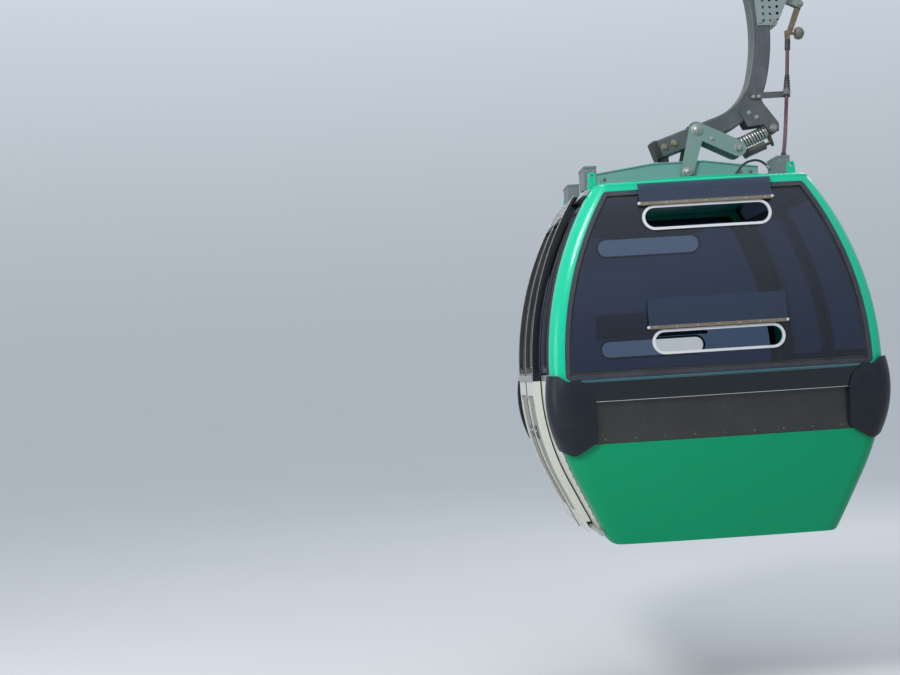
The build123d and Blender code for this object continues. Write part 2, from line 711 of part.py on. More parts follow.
def roof_panel():
    """Roof: rim over the walls, shallow dome and four lifting lugs."""
    wide, long = side_x(ROOF_LIP), end_y(ROOF_LIP)
    rim = along_z(plan(wide, long, CORNER_R), ROOF_Z - ROOF_LIP, ROOF_Z)
    rim = fillet(rim.faces().sort_by(Axis.Z)[-1].edges(), ROOF_EDGE_R)
    cap = along_z(plan(wide - DOME_INSET, long - DOME_INSET, CORNER_R - DOME_INSET), ROOF_Z - 1,
                  ROOF_Z + DOME_RISE + 5) & dome(0.0)
    roof = (rim - roof_waste()) + cap
    tab = polygon([(-LUG_WIDTH / 2, ROOF_Z - LUG_ROOT), (LUG_WIDTH / 2, ROOF_Z - LUG_ROOT),
                   (LUG_TOP_WIDTH / 2, ROOF_Z + LUG_HEIGHT), (-LUG_TOP_WIDTH / 2, ROOF_Z + LUG_HEIGHT)])
    tab = fillet(tab.vertices().sort_by(Axis.Y)[-2:], LUG_TOP_WIDTH / 3)
    tab -= Pos(0, ROOF_Z + LUG_HEIGHT - 20) * Circle(LUG_HOLE_R)
    lug = along_y(tab, -LUG_THICK / 2, LUG_THICK / 2)
    for x in (-LUG_X, LUG_X):
        for y in (-LUG_Y, LUG_Y):
            roof += Pos(x, y, 0) * lug
    return roof


def roof_boxes():
    """Short boxes over the roof edges, which cover the door gear."""
    profile = rectangle(-BOX_WIDTH / 2, BOX_WIDTH / 2, ROOF_Z + FIT_GAP, ROOF_Z + BOX_TOP)
    profile = fillet(profile.vertices().sort_by(Axis.Y)[-2:], 6)
    box = along_y(profile, -BOX_LENGTH / 2, BOX_LENGTH / 2)
    boxes = [Pos(x, y, 0) * box - dome(FIT_GAP) for x in (-BOX_X, BOX_X) for y in (-BOX_Y, BOX_Y)]
    return Compound(children=[solid for box in boxes for solid in box.solids()])


def roof_beam():
    """Cross beam of the roof that the hanger stands on."""
    end = BOX_X - BOX_WIDTH / 2
    profile = polygon([(-end, ROOF_Z), (end, ROOF_Z), (end, ROOF_Z + BEAM_END_HEIGHT),
                       (BEAM_PLATEAU_RIGHT, ROOF_Z + BEAM_PLATEAU),
                       (BEAM_PLATEAU_LEFT, ROOF_Z + BEAM_PLATEAU), (-end, ROOF_Z + BEAM_END_HEIGHT)])
    beam = along_y(profile, -BEAM_HALF_DEPTH, BEAM_HALF_DEPTH) - dome(FIT_GAP)
    return beam - rod((CRANK_FOOT[0], -100, CRANK_FOOT[1]), (CRANK_FOOT[0], 100, CRANK_FOOT[1]), CRANK_PIN_R)


def tube_lengths():
    """Run of the foot and radius of the bow that bring the neck's end to the hub."""
    low, knee, top = [math.radians(turn) for turn in
                      (TUBE_RISE_DEG, TUBE_RISE_DEG + ELBOW_DEG, TUBE_RISE_DEG + ELBOW_DEG + BOW_DEG)]
    x = HUB_X + NECK_PAST_HUB - TUBE_FOOT_X - ELBOW_R * (math.sin(knee) - math.sin(low))
    z = -PIN_DROP - NECK_BELOW_PIN - ROOF_Z - TUBE_FOOT_RISE - ELBOW_R * (math.cos(low) - math.cos(knee))
    bow_x, bow_z = math.sin(top) - math.sin(knee), math.cos(knee) - math.cos(top)
    room = math.cos(low) * bow_z - math.sin(low) * bow_x
    return (x * bow_z - z * bow_x) / room, (z * math.cos(low) - x * math.sin(low)) / room


def tube_path():
    """Centre line of the hanger as three tangent runs in X and Z, the last one inside the head."""
    foot_run, bow_r = tube_lengths()
    rise = math.radians(TUBE_RISE_DEG)
    start = Vector(TUBE_FOOT_X, 0, ROOF_Z + TUBE_FOOT_RISE)
    way = Vector(math.cos(rise), 0, math.sin(rise))
    foot = Line(start, start + way * foot_run)
    elbow = bend(foot, ELBOW_R, ELBOW_DEG)
    bow = bend(elbow, bow_r, BOW_DEG - HEAD_DEG)
    neck = bend(bow, bow_r, HEAD_DEG)
    return foot, elbow, bow, neck


def bend(before, radius, degrees):
    """Arc in X and Z that carries on from an edge and turns up and to -X."""
    start, way = before @ 1, before % 1
    centre = start + Vector(-way.Z, 0, way.X) * radius
    def spot(turn):
        a = math.radians(turn)
        out = start - centre
        return centre + Vector(out.X * math.cos(a) - out.Z * math.sin(a), 0,
                               out.X * math.sin(a) + out.Z * math.cos(a))
    return ThreePointArc(start, spot(degrees / 2), spot(degrees))


def tube_profile(start, way, solid):
    """Square of the hanger tube, across its path."""
    plane = Plane(origin=start, x_dir=(0, 1, 0), z_dir=way)
    shape = RectangleRounded(TUBE, TUBE, TUBE_R)
    if not solid:
        inner = TUBE - 2 * TUBE_WALL
        shape -= RectangleRounded(inner, inner, TUBE_R - TUBE_WALL)
    return plane * shape


def hanger_arm():
    """Bent square tube of the hanger, open inside."""
    foot, elbow, bow, neck = tube_path()
    path = Wire([foot, elbow, bow])
    arm = sweep(tube_profile(foot @ 0, foot % 0, False), path=path)
    x, z = CRANK_PIVOT
    return arm - rod((x, -100, z), (x, 100, z), CRANK_PIN_R)


def hanger_head():
    """Solid neck and hub at the top of the hanger, bored for the swing pin and faced for its cap."""
    foot, elbow, bow, neck = tube_path()
    low, high = HUB_X - HUB_LENGTH / 2, HUB_X + HUB_LENGTH / 2
    tube = sweep(tube_profile(neck @ 0, neck % 0, True), path=Wire([neck]))
    tube -= rod(on_pin(high), on_pin(high + TUBE), PIN_CAP_R + PIN_CAP_ROOM)
    head = tube + rod(on_pin(low), on_pin(high), HUB_R)
    return head - rod(on_pin(low - 1), on_pin(high + TUBE), PIN_R + RUNNING_GAP)


def on_pin(x):
    """Point of the swing pin's axis."""
    return (x, 0, -PIN_DROP)


def hanger_stops():
    """Black plug in the tube's lower end, and the rubber pad under it on the beam."""
    foot = tube_path()[0]
    plane = Plane(origin=foot @ 0, x_dir=(0, 1, 0), z_dir=(foot % 0) * -1)
    cap = extrude(plane * RectangleRounded(TUBE, TUBE, TUBE_R), amount=TUBE_CAP)
    rise = math.radians(TUBE_RISE_DEG)
    middle = ROOF_Z + TUBE_FOOT_RISE - TUBE / 2 / math.cos(rise) - FIT_GAP
    low, high = [(x, middle + (x - TUBE_FOOT_X) * math.tan(rise)) for x in (PAD_LOW_X, PAD_HIGH_X)]
    top = ROOF_Z + BEAM_PLATEAU
    pad = along_y(polygon([(PAD_LOW_X, top), (PAD_HIGH_X, top), high, low]), -PAD_HALF, PAD_HALF)
    return Compound(children=[*cap.solids(), *pad.solids()])


def paired(sketch, inner, thick):
    """Two like plates, one on each side of the hanger's plane."""
    plate = along_y(sketch, inner, inner + thick)
    return [*plate.solids(), *behind(plate).solids()]


def crank_plates():
    """L-shaped plates: pivot on the tube, foot on the roof beam, arm to the spring."""
    shape = link(CRANK_PIVOT, CRANK_FOOT, CRANK_PIVOT_R, CRANK_FOOT_R)
    shape += link(CRANK_PIVOT, CRANK_ARM, CRANK_PIVOT_R, CRANK_ARM_R)
    for x, z in (CRANK_PIVOT, CRANK_FOOT):
        shape -= Pos(x, z) * Circle(CRANK_PIN_R)
    return Compound(children=paired(shape, TUBE / 2 + CRANK_GAP, CRANK_PLATE))


def crank_pins():
    """Pivot pins of the suspension, with their heads."""
    reach = TUBE / 2 + CRANK_GAP + CRANK_PLATE
    pins = []
    for x, z in (CRANK_PIVOT, CRANK_FOOT):
        pin = rod((x, -reach, z), (x, reach, z), CRANK_PIN_R)
        for sign in (-1, 1):
            pin += rod((x, sign * reach, z), (x, sign * (reach + PIN_HEAD), z), CRANK_PIN_R * 1.5)
        pins += pin.solids()
    return Compound(children=pins)


def spring_frame():
    """Start, direction and downward normal of the spring's axis."""
    turn = math.radians(SPRING_DEG)
    return (Vector(SPRING_START[0], 0, SPRING_START[1]), Vector(math.cos(turn), 0, math.sin(turn)),
            Vector(math.sin(turn), 0, -math.cos(turn)))


def suspension_unit():
    """Spring on its rod and the damper beside it, joined by their end seats and cross bars."""
    start, way, down = spring_frame()
    unit = rod(start, start + way * SPRING_LENGTH, SPRING_ROD_R)
    base = start + down * DAMPER_BELOW
    seats = (SPRING_SEAT * 3, SPRING_LENGTH - SPRING_SEAT * 4)
    for seat in seats:
        plane = Plane(origin=start + way * seat, x_dir=down, z_dir=way)
        plate = link((0, 0), (DAMPER_BELOW, 0), SPRING_R, DAMPER_R)
        unit += extrude(plane * plate, amount=SPRING_SEAT)
    pitch = (seats[1] - seats[0] - SPRING_SEAT) / SPRING_TURNS
    first = seats[0] + SPRING_SEAT
    ring_r = SPRING_R - SPRING_WIRE_R
    for count in range(SPRING_TURNS):
        centre = start + way * (first + pitch * (count + 0.5))
        ring = Plane(origin=centre, z_dir=way) * Torus(ring_r, SPRING_WIRE_R)
        unit += ring + rod(centre - way * 2, centre + way * 2, ring_r)
    unit += rod(base + way * seats[0], base + way * (seats[0] + DAMPER_BODY), DAMPER_R)
    unit += rod(base + way * (seats[0] + DAMPER_BODY), base + way * seats[1], DAMPER_R / 2)
    for spot, reach in ((start, TUBE / 2 + CRANK_GAP - FIT_GAP), (start + way * SPRING_LENGTH, TUBE / 2)):
        unit += rod(spot - Vector(0, reach, 0), spot + Vector(0, reach, 0), SPRING_ROD_R)
    return unit


def damper_bracket():
    """Plates on both faces of the tube that hold the upper end of the spring."""
    corners = [(482, 622), (424, 474), (466, 388), (560, 396), (592, 350), (648, 350), (650, 400),
               (566, 520), (540, 590)]
    shape = polygon([(x, ROOF_Z + rise) for x, rise in corners])
    shape = fillet(shape.vertices(), 8)
    return Compound(children=paired(shape, TUBE / 2 + FIT_GAP, CRANK_PLATE))


@lru_cache(maxsize=None)
def tube_body():
    """The hanger's tube as if it were full."""
    foot, elbow, bow, neck = tube_path()
    return sweep(tube_profile(foot @ 0, foot % 0, True), path=Wire([foot, elbow, bow]))


def lever_bracket():
    """Perforated box on the outer side of the tube, with the ears of the door lever."""
    corners = [(566, 985), (682, 985), (750, 1125), (808, 1230), (808, 1330), (640, 1450), (540, 1450)]
    shape = polygon([(x, ROOF_Z + rise) for x, rise in corners])
    outer = TUBE / 2 + FIT_GAP + BRACKET_PLATE
    inner = outer - BRACKET_PLATE
    ear_half = LEVER_THICK * 1.5
    ears = along_y(link((760, LEVER_PIVOT[1] + 60), LEVER_PIVOT, 40, 22), -ear_half, ear_half)
    body = along_y(shape, -outer, outer) + ears
    body -= along_y(offset(shape, amount=-BRACKET_PLATE, kind=Kind.INTERSECTION), -inner, inner)
    body -= tube_body()
    slot_zone = link((760, LEVER_PIVOT[1] + 60), LEVER_PIVOT, 60, 60)
    body -= along_y(slot_zone, -LEVER_THICK / 2 - 1, LEVER_THICK / 2 + 1)
    body -= rod((LEVER_PIVOT[0], -100, LEVER_PIVOT[1]), (LEVER_PIVOT[0], 100, LEVER_PIVOT[1]), LEVER_SHAFT_R)
    for column, rows in ((604, 10), (646, 10), (688, 9)):
        for row in range(rows):
            z = ROOF_Z + 1012 + row * 40
            body -= rod((column, -100, z), (column, 100, z), BRACKET_HOLE_R)
    return body


def door_lever():
    """Lever of the door gear: pivot pin, arm, roller shaft and the block that pulls the cable."""
    reach = LEVER_THICK * 1.5
    arm = along_y(link(LEVER_PIVOT, LEVER_FOOT, 18, 16), -LEVER_THICK / 2, LEVER_THICK / 2)
    arm += rod((LEVER_PIVOT[0], -reach - 6, LEVER_PIVOT[1]), (LEVER_PIVOT[0], reach + 6, LEVER_PIVOT[1]),
               LEVER_SHAFT_R)
    for sign in (-1, 1):
        arm += rod((LEVER_PIVOT[0], sign * (reach + 0.5), LEVER_PIVOT[1]),
                   (LEVER_PIVOT[0], sign * (reach + 7), LEVER_PIVOT[1]), LEVER_COLLAR_R)
    low = ROLLER_X - ROLLER_WIDTH / 2
    high = low + ROLLER_WIDTH
    arm += rod((LEVER_FOOT[0] - 20, 0, LEVER_SHAFT_Z), (high + 10, 0, LEVER_SHAFT_Z), LEVER_SHAFT_R)
    arm += rod((low - 6, 0, LEVER_SHAFT_Z), (low - 1, 0, LEVER_SHAFT_Z), LEVER_COLLAR_R)
    arm += rod((high + 1, 0, LEVER_SHAFT_Z), (high + 9, 0, LEVER_SHAFT_Z), LEVER_COLLAR_R)
    arm += block((LEVER_FOOT[0] - 32, LEVER_FOOT[0] - 6), (-13, 13), (CABLE_TOP, LEVER_SHAFT_Z + 18))
    return arm


def lever_roller():
    """Crowned roller at the foot of the door lever."""
    half = ROLLER_WIDTH / 2
    bore = LEVER_SHAFT_R + RUNNING_GAP
    side = make_face([Line((bore, -half), (ROLLER_R - 8, -half)),
                      ThreePointArc((ROLLER_R - 8, -half), (ROLLER_R, 0), (ROLLER_R - 8, half)),
                      Line((ROLLER_R - 8, half), (bore, half)), Line((bore, half), (bore, -half))])
    roller = revolve(Plane.XZ * side, axis=Axis.Z)
    return Pos(ROLLER_X, 0, LEVER_SHAFT_Z) * Rot(0, 90, 0) * roller


def route(points):
    """Straight runs joined by arcs as large as the runs allow."""
    corners = [Vector(*point) for point in points]
    runs = [b - a for a, b in zip(corners, corners[1:])]
    radii = []
    for before, after in zip(runs, runs[1:]):
        turn = math.radians(before.get_angle(after))
        radii.append(0.45 * min(before.length, after.length) / math.tan(turn / 2))
    return FilletPolyline(*points, radius=radii)


def tube_along(path, radius):
    """Round tube along a route."""
    return sweep(Plane(origin=path @ 0, z_dir=path % 0) * Circle(radius), path=path)


def door_cable():
    """Sheathed cable from the lever, past its guide, to the right roof box."""
    cable = tube_along(route(CABLE_ROUTE), CABLE_R)
    return cable & block((0, REACH), (-REACH, REACH), (ROOF_Z + BOX_TOP + FIT_GAP, CABLE_TOP - FIT_GAP))


def cable_guide():
    """Flat arm on the outer face of the damper bracket, with a ring round the middle of the cable's bend."""
    bow = route(CABLE_ROUTE).edges().sort_by(Axis.Z)[-2]
    middle, way = bow @ 0.5, bow % 0.5
    face = -TUBE / 2 - CRANK_PLATE - 2 * FIT_GAP
    half = GUIDE_HEIGHT / 2
    arm = block((GUIDE_START_X, middle.X), (face - GUIDE_THICK, face), (middle.Z - half, middle.Z + half))
    reach = Vector(way) * (half / abs(way.Z))
    arm += rod(middle - reach, middle + reach, CABLE_R + GUIDE_PLAY + GUIDE_RING)
    return arm - rod(middle - reach * 3, middle + reach * 3, CABLE_R + GUIDE_PLAY)


def roof_hose():
    """Black hose from the right roof box to a gland on the roof."""
    hose = tube_along(route(HOSE_ROUTE), HOSE_R)
    x, y, z = HOSE_ROUTE[-1]
    gland = rod((x, y, z - 10), (x, y, z + 14), HOSE_R * 2)
    beyond = block((BOX_X - BOX_WIDTH / 2 - FIT_GAP, REACH), (-REACH, REACH), (ROOF_Z, 0))
    return (hose + gland) - dome(FIT_GAP) - beyond


def floor_pan():
    """Floor inside the walls, with two skids under it."""
    low, high = ROOF_Z - BOTTOM_DROP, ROOF_Z - FLOOR_TOP
    inner = -WALL - FIT_GAP
    pan = along_y(cross_section(inner), -REACH, REACH) & behind_end(inner) & behind(behind_end(inner))
    pan &= block((-REACH, REACH), (-REACH, REACH), (low, high))
    for x in (-SKID_X, SKID_X):
        pan += block((x - SKID_WIDTH / 2, x + SKID_WIDTH / 2), (-SKID_HALF_LENGTH, SKID_HALF_LENGTH),
                     (low - SKID_DEPTH, low))
    return pan


def bench():
    """Front bench: seat, back along the end wall and plinth down to the floor."""
    wall_y = -end_y(SEAT_DROP) + WALL + 22
    shape = polygon([at(wall_y, SEAT_BACK_TOP), at(wall_y + SEAT_BACK_THICK * 0.8, SEAT_BACK_TOP),
                     at(wall_y + SEAT_BACK_THICK, SEAT_DROP), at(wall_y + SEAT_DEPTH, SEAT_DROP - 12),
                     at(wall_y + SEAT_DEPTH, SEAT_DROP + SEAT_THICK), at(wall_y, SEAT_DROP + SEAT_THICK)])
    shape = fillet(shape.vertices(), 10)
    seat = along_x(shape, -SEAT_HALF_WIDTH, SEAT_HALF_WIDTH)
    plinth = block((-SEAT_PLINTH_HALF, SEAT_PLINTH_HALF),
                   (wall_y + 90, wall_y + SEAT_DEPTH - SEAT_PLINTH_SET),
                   (ROOF_Z - FLOOR_TOP, ROOF_Z - SEAT_DROP - SEAT_THICK / 2))
    return (seat + plinth) & inside(-WALL - 8)


def grip_body():
    """Fixed jaw, carrier beam with the roller axles, and the boss of the swing pin."""
    jaw = polygon([(-4, -36), (24, -44), (GRIP_REAR_X, -44), (GRIP_REAR_X, GRIP_TOP), (44, GRIP_TOP),
                   (24, 20), (0, 8), (-4, 0)])
    body = along_y(jaw, -JAW_HALF, JAW_HALF)
    body += block((BOSS_LOW_X, GRIP_REAR_X), (-BOSS_HALF, BOSS_HALF), (-PIN_DROP - 50, -40))
    body += block((GRIP_REAR_X - 4, CARRIER_X), (-CARRIER_HALF, CARRIER_HALF), (CARRIER_LOW, CARRIER_TOP))
    high = WHEEL_X + WHEEL_WIDTH / 2
    for y in (-WHEEL_Y, WHEEL_Y):
        body += rod((CARRIER_X - 4, y, WHEEL_Z), (high + 1 + AXLE_HEAD, y, WHEEL_Z), AXLE_R)
        body += rod((CARRIER_X - 4, y, WHEEL_Z), (high - WHEEL_WIDTH - 1, y, WHEEL_Z), AXLE_R + 8)
        body += rod((high + 1, y, WHEEL_Z), (high + 1 + AXLE_HEAD, y, WHEEL_Z), AXLE_R + 6)
    body -= rod((0, -400, 0), (0, 400, 0), ROPE_R)
    return body - rod((0, 0, -PIN_DROP), (200, 0, -PIN_DROP), PIN_R)


def grip_jaw():
    """Moving jaw over the rope."""
    shape = polygon([(-8, -36), (-30, -26), (-42, 0), (-34, 30), (-6, 56), (22, 92), (60, 112),
                     (GRIP_REAR_X, 112), (GRIP_REAR_X, GRIP_TOP + JAW_GAP), (41, GRIP_TOP + JAW_GAP),
                     (20, 24), (-2, 11), (-8, 4)])
    jaw = along_y(shape, -JAW_HALF, JAW_HALF)
    return jaw - rod((0, -400, 0), (0, 400, 0), ROPE_R)


def grip_springs():
    """Two closing springs between the moving jaw and the friction plate."""
    packs = []
    for y in (-CLOSER_Y, CLOSER_Y):
        pack = rod((CLOSER_X, y, CLOSER_FOOT), (CLOSER_X, y, PLATE_Z), CLOSER_ROD_R)
        for count in range(CLOSER_TURNS):
            middle = Pos(CLOSER_X, y, CLOSER_FIRST + count * CLOSER_PITCH)
            pack += middle * Torus(CLOSER_R, CLOSER_WIRE_R)
            pack += middle * Cylinder(CLOSER_R, CLOSER_WIRE_R / 2)
        packs += pack.solids()
    return Compound(children=packs)


def friction_plate():
    """Plate that the station tyres press on, on two posts of the carrier."""
    shape = rectangle(-20, 136, -CARRIER_HALF - 25, CARRIER_HALF + 25)
    plate = along_z(fillet(shape.vertices(), 18), PLATE_Z, PLATE_Z + PLATE_THICK)
    for y in (-CARRIER_HALF + 8, CARRIER_HALF - 8):
        plate += block((GRIP_REAR_X, CARRIER_X), (y - 8, y + 8), (CARRIER_TOP, PLATE_Z + 1))
    return plate


def grip_lever():
    """Opening lever on the moving jaw, with its cam roller."""
    lever = along_y(link((74, 128), (-92, 140), 15.5, 13), -12, 12)
    lever += rod((-92, 10, 140), (-92, 44, 140), 10)
    return lever + rod((-92, 14, 140), (-92, 40, 140), 22)


def swing_pin():
    """Pin that the hanger swings on, with its head, thrust washer and end cap."""
    low, high = HUB_X - HUB_LENGTH / 2, HUB_X + HUB_LENGTH / 2
    pin = rod(on_pin(BOSS_LOW_X - 12), on_pin(high + PIN_SIDE_PLAY), PIN_R)
    collars = [(BOSS_LOW_X - 12, BOSS_LOW_X), (GRIP_REAR_X, low - PIN_SIDE_PLAY),
               (high + PIN_SIDE_PLAY, high + PIN_SIDE_PLAY + PIN_CAP)]
    for start, end in collars:
        pin += rod(on_pin(start), on_pin(end), PIN_CAP_R)
    return pin


def wheel():
    """Front running roller with its tyre groove and bore."""
    half = WHEEL_WIDTH / 2
    bore = AXLE_R + RUNNING_GAP
    groove = half - 8
    side = polygon([(bore, -half), (WHEEL_R * 0.42, -half), (WHEEL_R * 0.5, -groove),
                    (WHEEL_R * 0.72, -groove), (WHEEL_R * 0.78, -half), (WHEEL_R - 4, -half),
                    (WHEEL_R, -half + 5), (WHEEL_R, half - 5), (WHEEL_R - 4, half),
                    (WHEEL_R * 0.78, half), (WHEEL_R * 0.72, groove), (WHEEL_R * 0.5, groove),
                    (WHEEL_R * 0.42, half), (bore, half)])
    return Pos(WHEEL_X, -WHEEL_Y, WHEEL_Z) * Rot(0, 90, 0) * revolve(Plane.XZ * side, axis=Axis.Z)


def parts():
    """Every piece of the vehicle by name."""
    made = {
        "end_hoop_front": end_hoop(),
        "end_panel_front": end_panel(),
        "belt_beam_front": belt_beam(),
        "bumpers_front": bumpers(),
        "end_window_front": end_window(),
        "bench_front": bench(),
        "wheel_front": wheel(),
        "side_frame_left": side_frame(-1),
        "side_frame_right": side_frame(1),
        "side_windows": side_windows(),
        "window_gaskets": main_gaskets(),
        "vent_trims": vent_trims(),
        "vent_flaps": vent_flaps(),
        "vent_hinges": vent_hinges(),
        "roof_panel": roof_panel(),
        "roof_boxes": roof_boxes(),
        "roof_beam": roof_beam(),
        "roof_hose": roof_hose(),
        "floor_pan": floor_pan(),
        "door_rails": door_rails(),
        "door_leaf_rear": door_leaf(),
        "door_glass_rear": leaf_pane(),
        "door_gasket_rear": leaf_gasket(),
        "hanger_arm": hanger_arm(),
        "hanger_head": hanger_head(),
        "hanger_stops": hanger_stops(),
        "crank_plates": crank_plates(),
        "crank_pins": crank_pins(),
        "suspension_unit": suspension_unit(),
        "damper_bracket": damper_bracket(),
        "lever_bracket": lever_bracket(),
        "door_lever": door_lever(),
        "lever_roller": lever_roller(),
        "cable_guide": cable_guide(),
        "door_cable": door_cable(),
        "grip_body": grip_body(),
        "grip_jaw": grip_jaw(),
        "grip_springs": grip_springs(),
        "grip_lever": grip_lever(),
        "friction_plate": friction_plate(),
        "swing_pin": swing_pin(),
    }
    for name in list(made):
        if name.endswith("_rear"):
            made[name.replace("_rear", "_front")] = behind(made[name])
        elif name.endswith("_front"):
            made[name.replace("_front", "_rear")] = behind(made[name])
    return made


os.makedirs("parts", exist_ok=True)
for node, shape in parts().items():
    export_step(shape, f"parts/{node}.step")
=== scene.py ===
"""Looks of a cable car cabin on its hanger: paint, tinted glass, rubber, bare steel and small fittings.

Metres, +Z up, +Y along the rope, origin on the rope in the middle of the grip. Heights on the cabin
are given as a drop below the roof edge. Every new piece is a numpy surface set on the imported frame.
"""

from __future__ import annotations

import json
import logging
import math
from dataclasses import dataclass
from enum import Enum
from typing import Callable, Sequence

import bmesh
import bpy
import numpy as np
from mathutils import Matrix, Vector

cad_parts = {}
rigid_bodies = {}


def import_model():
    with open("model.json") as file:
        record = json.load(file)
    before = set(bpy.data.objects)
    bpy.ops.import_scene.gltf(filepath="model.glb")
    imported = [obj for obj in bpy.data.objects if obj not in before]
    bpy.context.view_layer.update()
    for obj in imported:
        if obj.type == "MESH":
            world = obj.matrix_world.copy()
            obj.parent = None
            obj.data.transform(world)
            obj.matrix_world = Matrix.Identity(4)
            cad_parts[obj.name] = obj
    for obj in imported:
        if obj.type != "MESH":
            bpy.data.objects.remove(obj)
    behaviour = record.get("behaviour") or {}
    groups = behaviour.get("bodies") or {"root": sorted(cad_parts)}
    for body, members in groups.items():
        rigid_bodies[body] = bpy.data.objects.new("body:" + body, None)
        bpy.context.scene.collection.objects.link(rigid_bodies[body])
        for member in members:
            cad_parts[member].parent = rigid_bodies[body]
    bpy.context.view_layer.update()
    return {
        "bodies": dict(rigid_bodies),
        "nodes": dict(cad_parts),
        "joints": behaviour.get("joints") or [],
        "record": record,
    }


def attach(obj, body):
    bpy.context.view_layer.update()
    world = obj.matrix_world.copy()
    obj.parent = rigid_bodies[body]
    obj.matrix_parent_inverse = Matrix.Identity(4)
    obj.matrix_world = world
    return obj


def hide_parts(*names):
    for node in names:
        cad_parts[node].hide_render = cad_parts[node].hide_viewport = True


LOG = logging.getLogger("cable_car")
# Z of the roof edge, distance of points that merge, step of slopes taken by differences, and how far
# an added piece reaches into what carries it
ROOF_Z = -1.950
MERGE_GAP = 1e-6
SLOPE_STEP = 0.002
SUNK = 0.001
UP = (0.0, 0.0, 1.0)
ALONG_ROPE = np.array([0.0, 1.0, 0.0])
Point = Sequence[float]
Pair = tuple[float, float]
Pairs = Sequence[Pair]
Triple = tuple[float, float, float]
Rgb = Triple
Numbers = np.ndarray | float
Material = bpy.types.Material
Node = bpy.types.Node
Socket = bpy.types.NodeSocket


class End(Enum):
    """End of the cabin, as the sign of its Y."""

    FRONT = -1
    REAR = 1

    @property
    def label(self) -> str:
        """The end's word in names of pieces and bodies."""
        return self.name.lower()


class Side(Enum):
    """Side of the cabin, as the sign of its X."""

    LEFT = -1
    RIGHT = 1


class Pattern(Enum):
    """How a finish varies over its surface."""

    SMOOTH = "smooth"
    STREAKED = "streaked"
    GRAINED = "grained"
    MOTTLED = "mottled"


# Mesh building


class Batch:
    """Collects closed shells and joins them into one mesh object."""

    def __init__(self) -> None:
        """Start empty."""
        self.points: list[np.ndarray] = []
        self.faces: list[tuple[int, ...]] = []
        self.count = 0

    def add(self, points: np.ndarray, faces: Sequence[Sequence[int]]) -> None:
        """Add one shell.

        Args:
            points: Its points, one row each.
            faces: Its faces as indices into those points.
        """
        self.points.append(np.asarray(points, float).reshape(-1, 3))
        self.faces.extend(tuple(int(i) + self.count for i in face) for face in faces)
        self.count += len(self.points[-1])

    def mirrored(self, axis: int) -> None:
        """Add a mirror image of all shells so far.

        Args:
            axis: 0 mirrors across the YZ plane, 1 across the XZ plane.
        """
        points = np.concatenate(self.points)
        points[:, axis] *= -1
        self.add(points, [face[::-1] for face in self.faces])

    def build(self, name: str, material: Material, body: str, smooth_deg: float,
              slot: str) -> bpy.types.Object:
        """Make the mesh object, give it its finish and let it ride on a body.

        Args:
            name: Name of the object.
            material: Finish of the whole piece.
            body: CAD body that carries it.
            smooth_deg: Edges flatter than this are shaded smooth.
            slot: Material slot of the record that the finish belongs to. Not used.

        Returns:
            The object.
        """
        mesh = bpy.data.meshes.new(name)
        mesh.from_pydata(np.concatenate(self.points), [], self.faces)
        work = bmesh.new()
        work.from_mesh(mesh)
        bmesh.ops.remove_doubles(work, verts=work.verts, dist=MERGE_GAP)
        bmesh.ops.recalc_face_normals(work, faces=work.faces)
        limit = math.radians(smooth_deg)
        for edge in work.edges:
            edge.smooth = len(edge.link_faces) == 2 and edge.calc_face_angle(0.0) < limit
        work.to_mesh(mesh)
        work.free()
        mesh.polygons.foreach_set("use_smooth", np.ones(len(mesh.polygons), bool))
        mesh.materials.append(material)
        piece = new_object(name, mesh)
        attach(piece, body)
        LOG.info("%s on %s: %d faces", name, body, len(mesh.polygons))
        return piece


def new_object(name: str, data: bpy.types.ID) -> bpy.types.Object:
    """Object that shows some data, linked to the scene.

    Args:
        name: Name of the object.
        data: Its mesh, lamp or camera.

    Returns:
        The object.
    """
    thing = bpy.data.objects.new(name, data)
    bpy.context.scene.collection.objects.link(thing)
    return thing


def unit(vector: Point) -> np.ndarray:
    """The vector scaled to length 1."""
    return np.asarray(vector, float) / np.linalg.norm(vector)


def grid_of(x: Numbers, y: Numbers, z: Numbers) -> np.ndarray:
    """Points from their X, Y and Z parts, each spread over the shape of all three."""
    return np.stack(np.broadcast_arrays(x, y, z), axis=-1)


def unit_grid(rows: int, columns: int) -> tuple[np.ndarray, np.ndarray]:
    """Both parameters of a grid, each from -1 to 1: down its rows and along its columns."""
    return np.linspace(-1, 1, rows)[:, None], np.linspace(-1, 1, columns)[None]


def four_places(x: float, y: float) -> list[Pair]:
    """The four corners of a rectangle about the origin, from half its width and half its length."""
    return [(-x, -y), (-x, y), (x, -y), (x, y)]


def grid_quads(rows: int, columns: int, wrap: bool) -> list[tuple[int, int, int, int]]:
    """Faces of a grid of points.

    Args:
        rows: Points along the first parameter.
        columns: Points along the second one.
        wrap: Whether the last column joins the first.

    Returns:
        Quads as indices, row by row.
    """
    last = columns if wrap else columns - 1
    row, column = np.meshgrid(np.arange(rows - 1), np.arange(last), indexing="ij")
    beside = (column + 1) % columns
    quads = np.stack([row * columns + column, row * columns + beside,
                      (row + 1) * columns + beside, (row + 1) * columns + column], axis=-1)
    return [tuple(quad) for quad in quads.reshape(-1, 4)]


def closed_prism(batch: Batch, outlines: np.ndarray) -> None:
    """Add a shell of closed outlines, each joined to the next, with flat caps.

    Args:
        batch: Where the shell goes.
        outlines: Points of each outline, of the same count.
    """
    rows, columns = outlines.shape[:2]
    caps = [tuple(range(columns)), tuple(range((rows - 1) * columns, rows * columns))]
    batch.add(outlines, grid_quads(rows, columns, True) + caps)


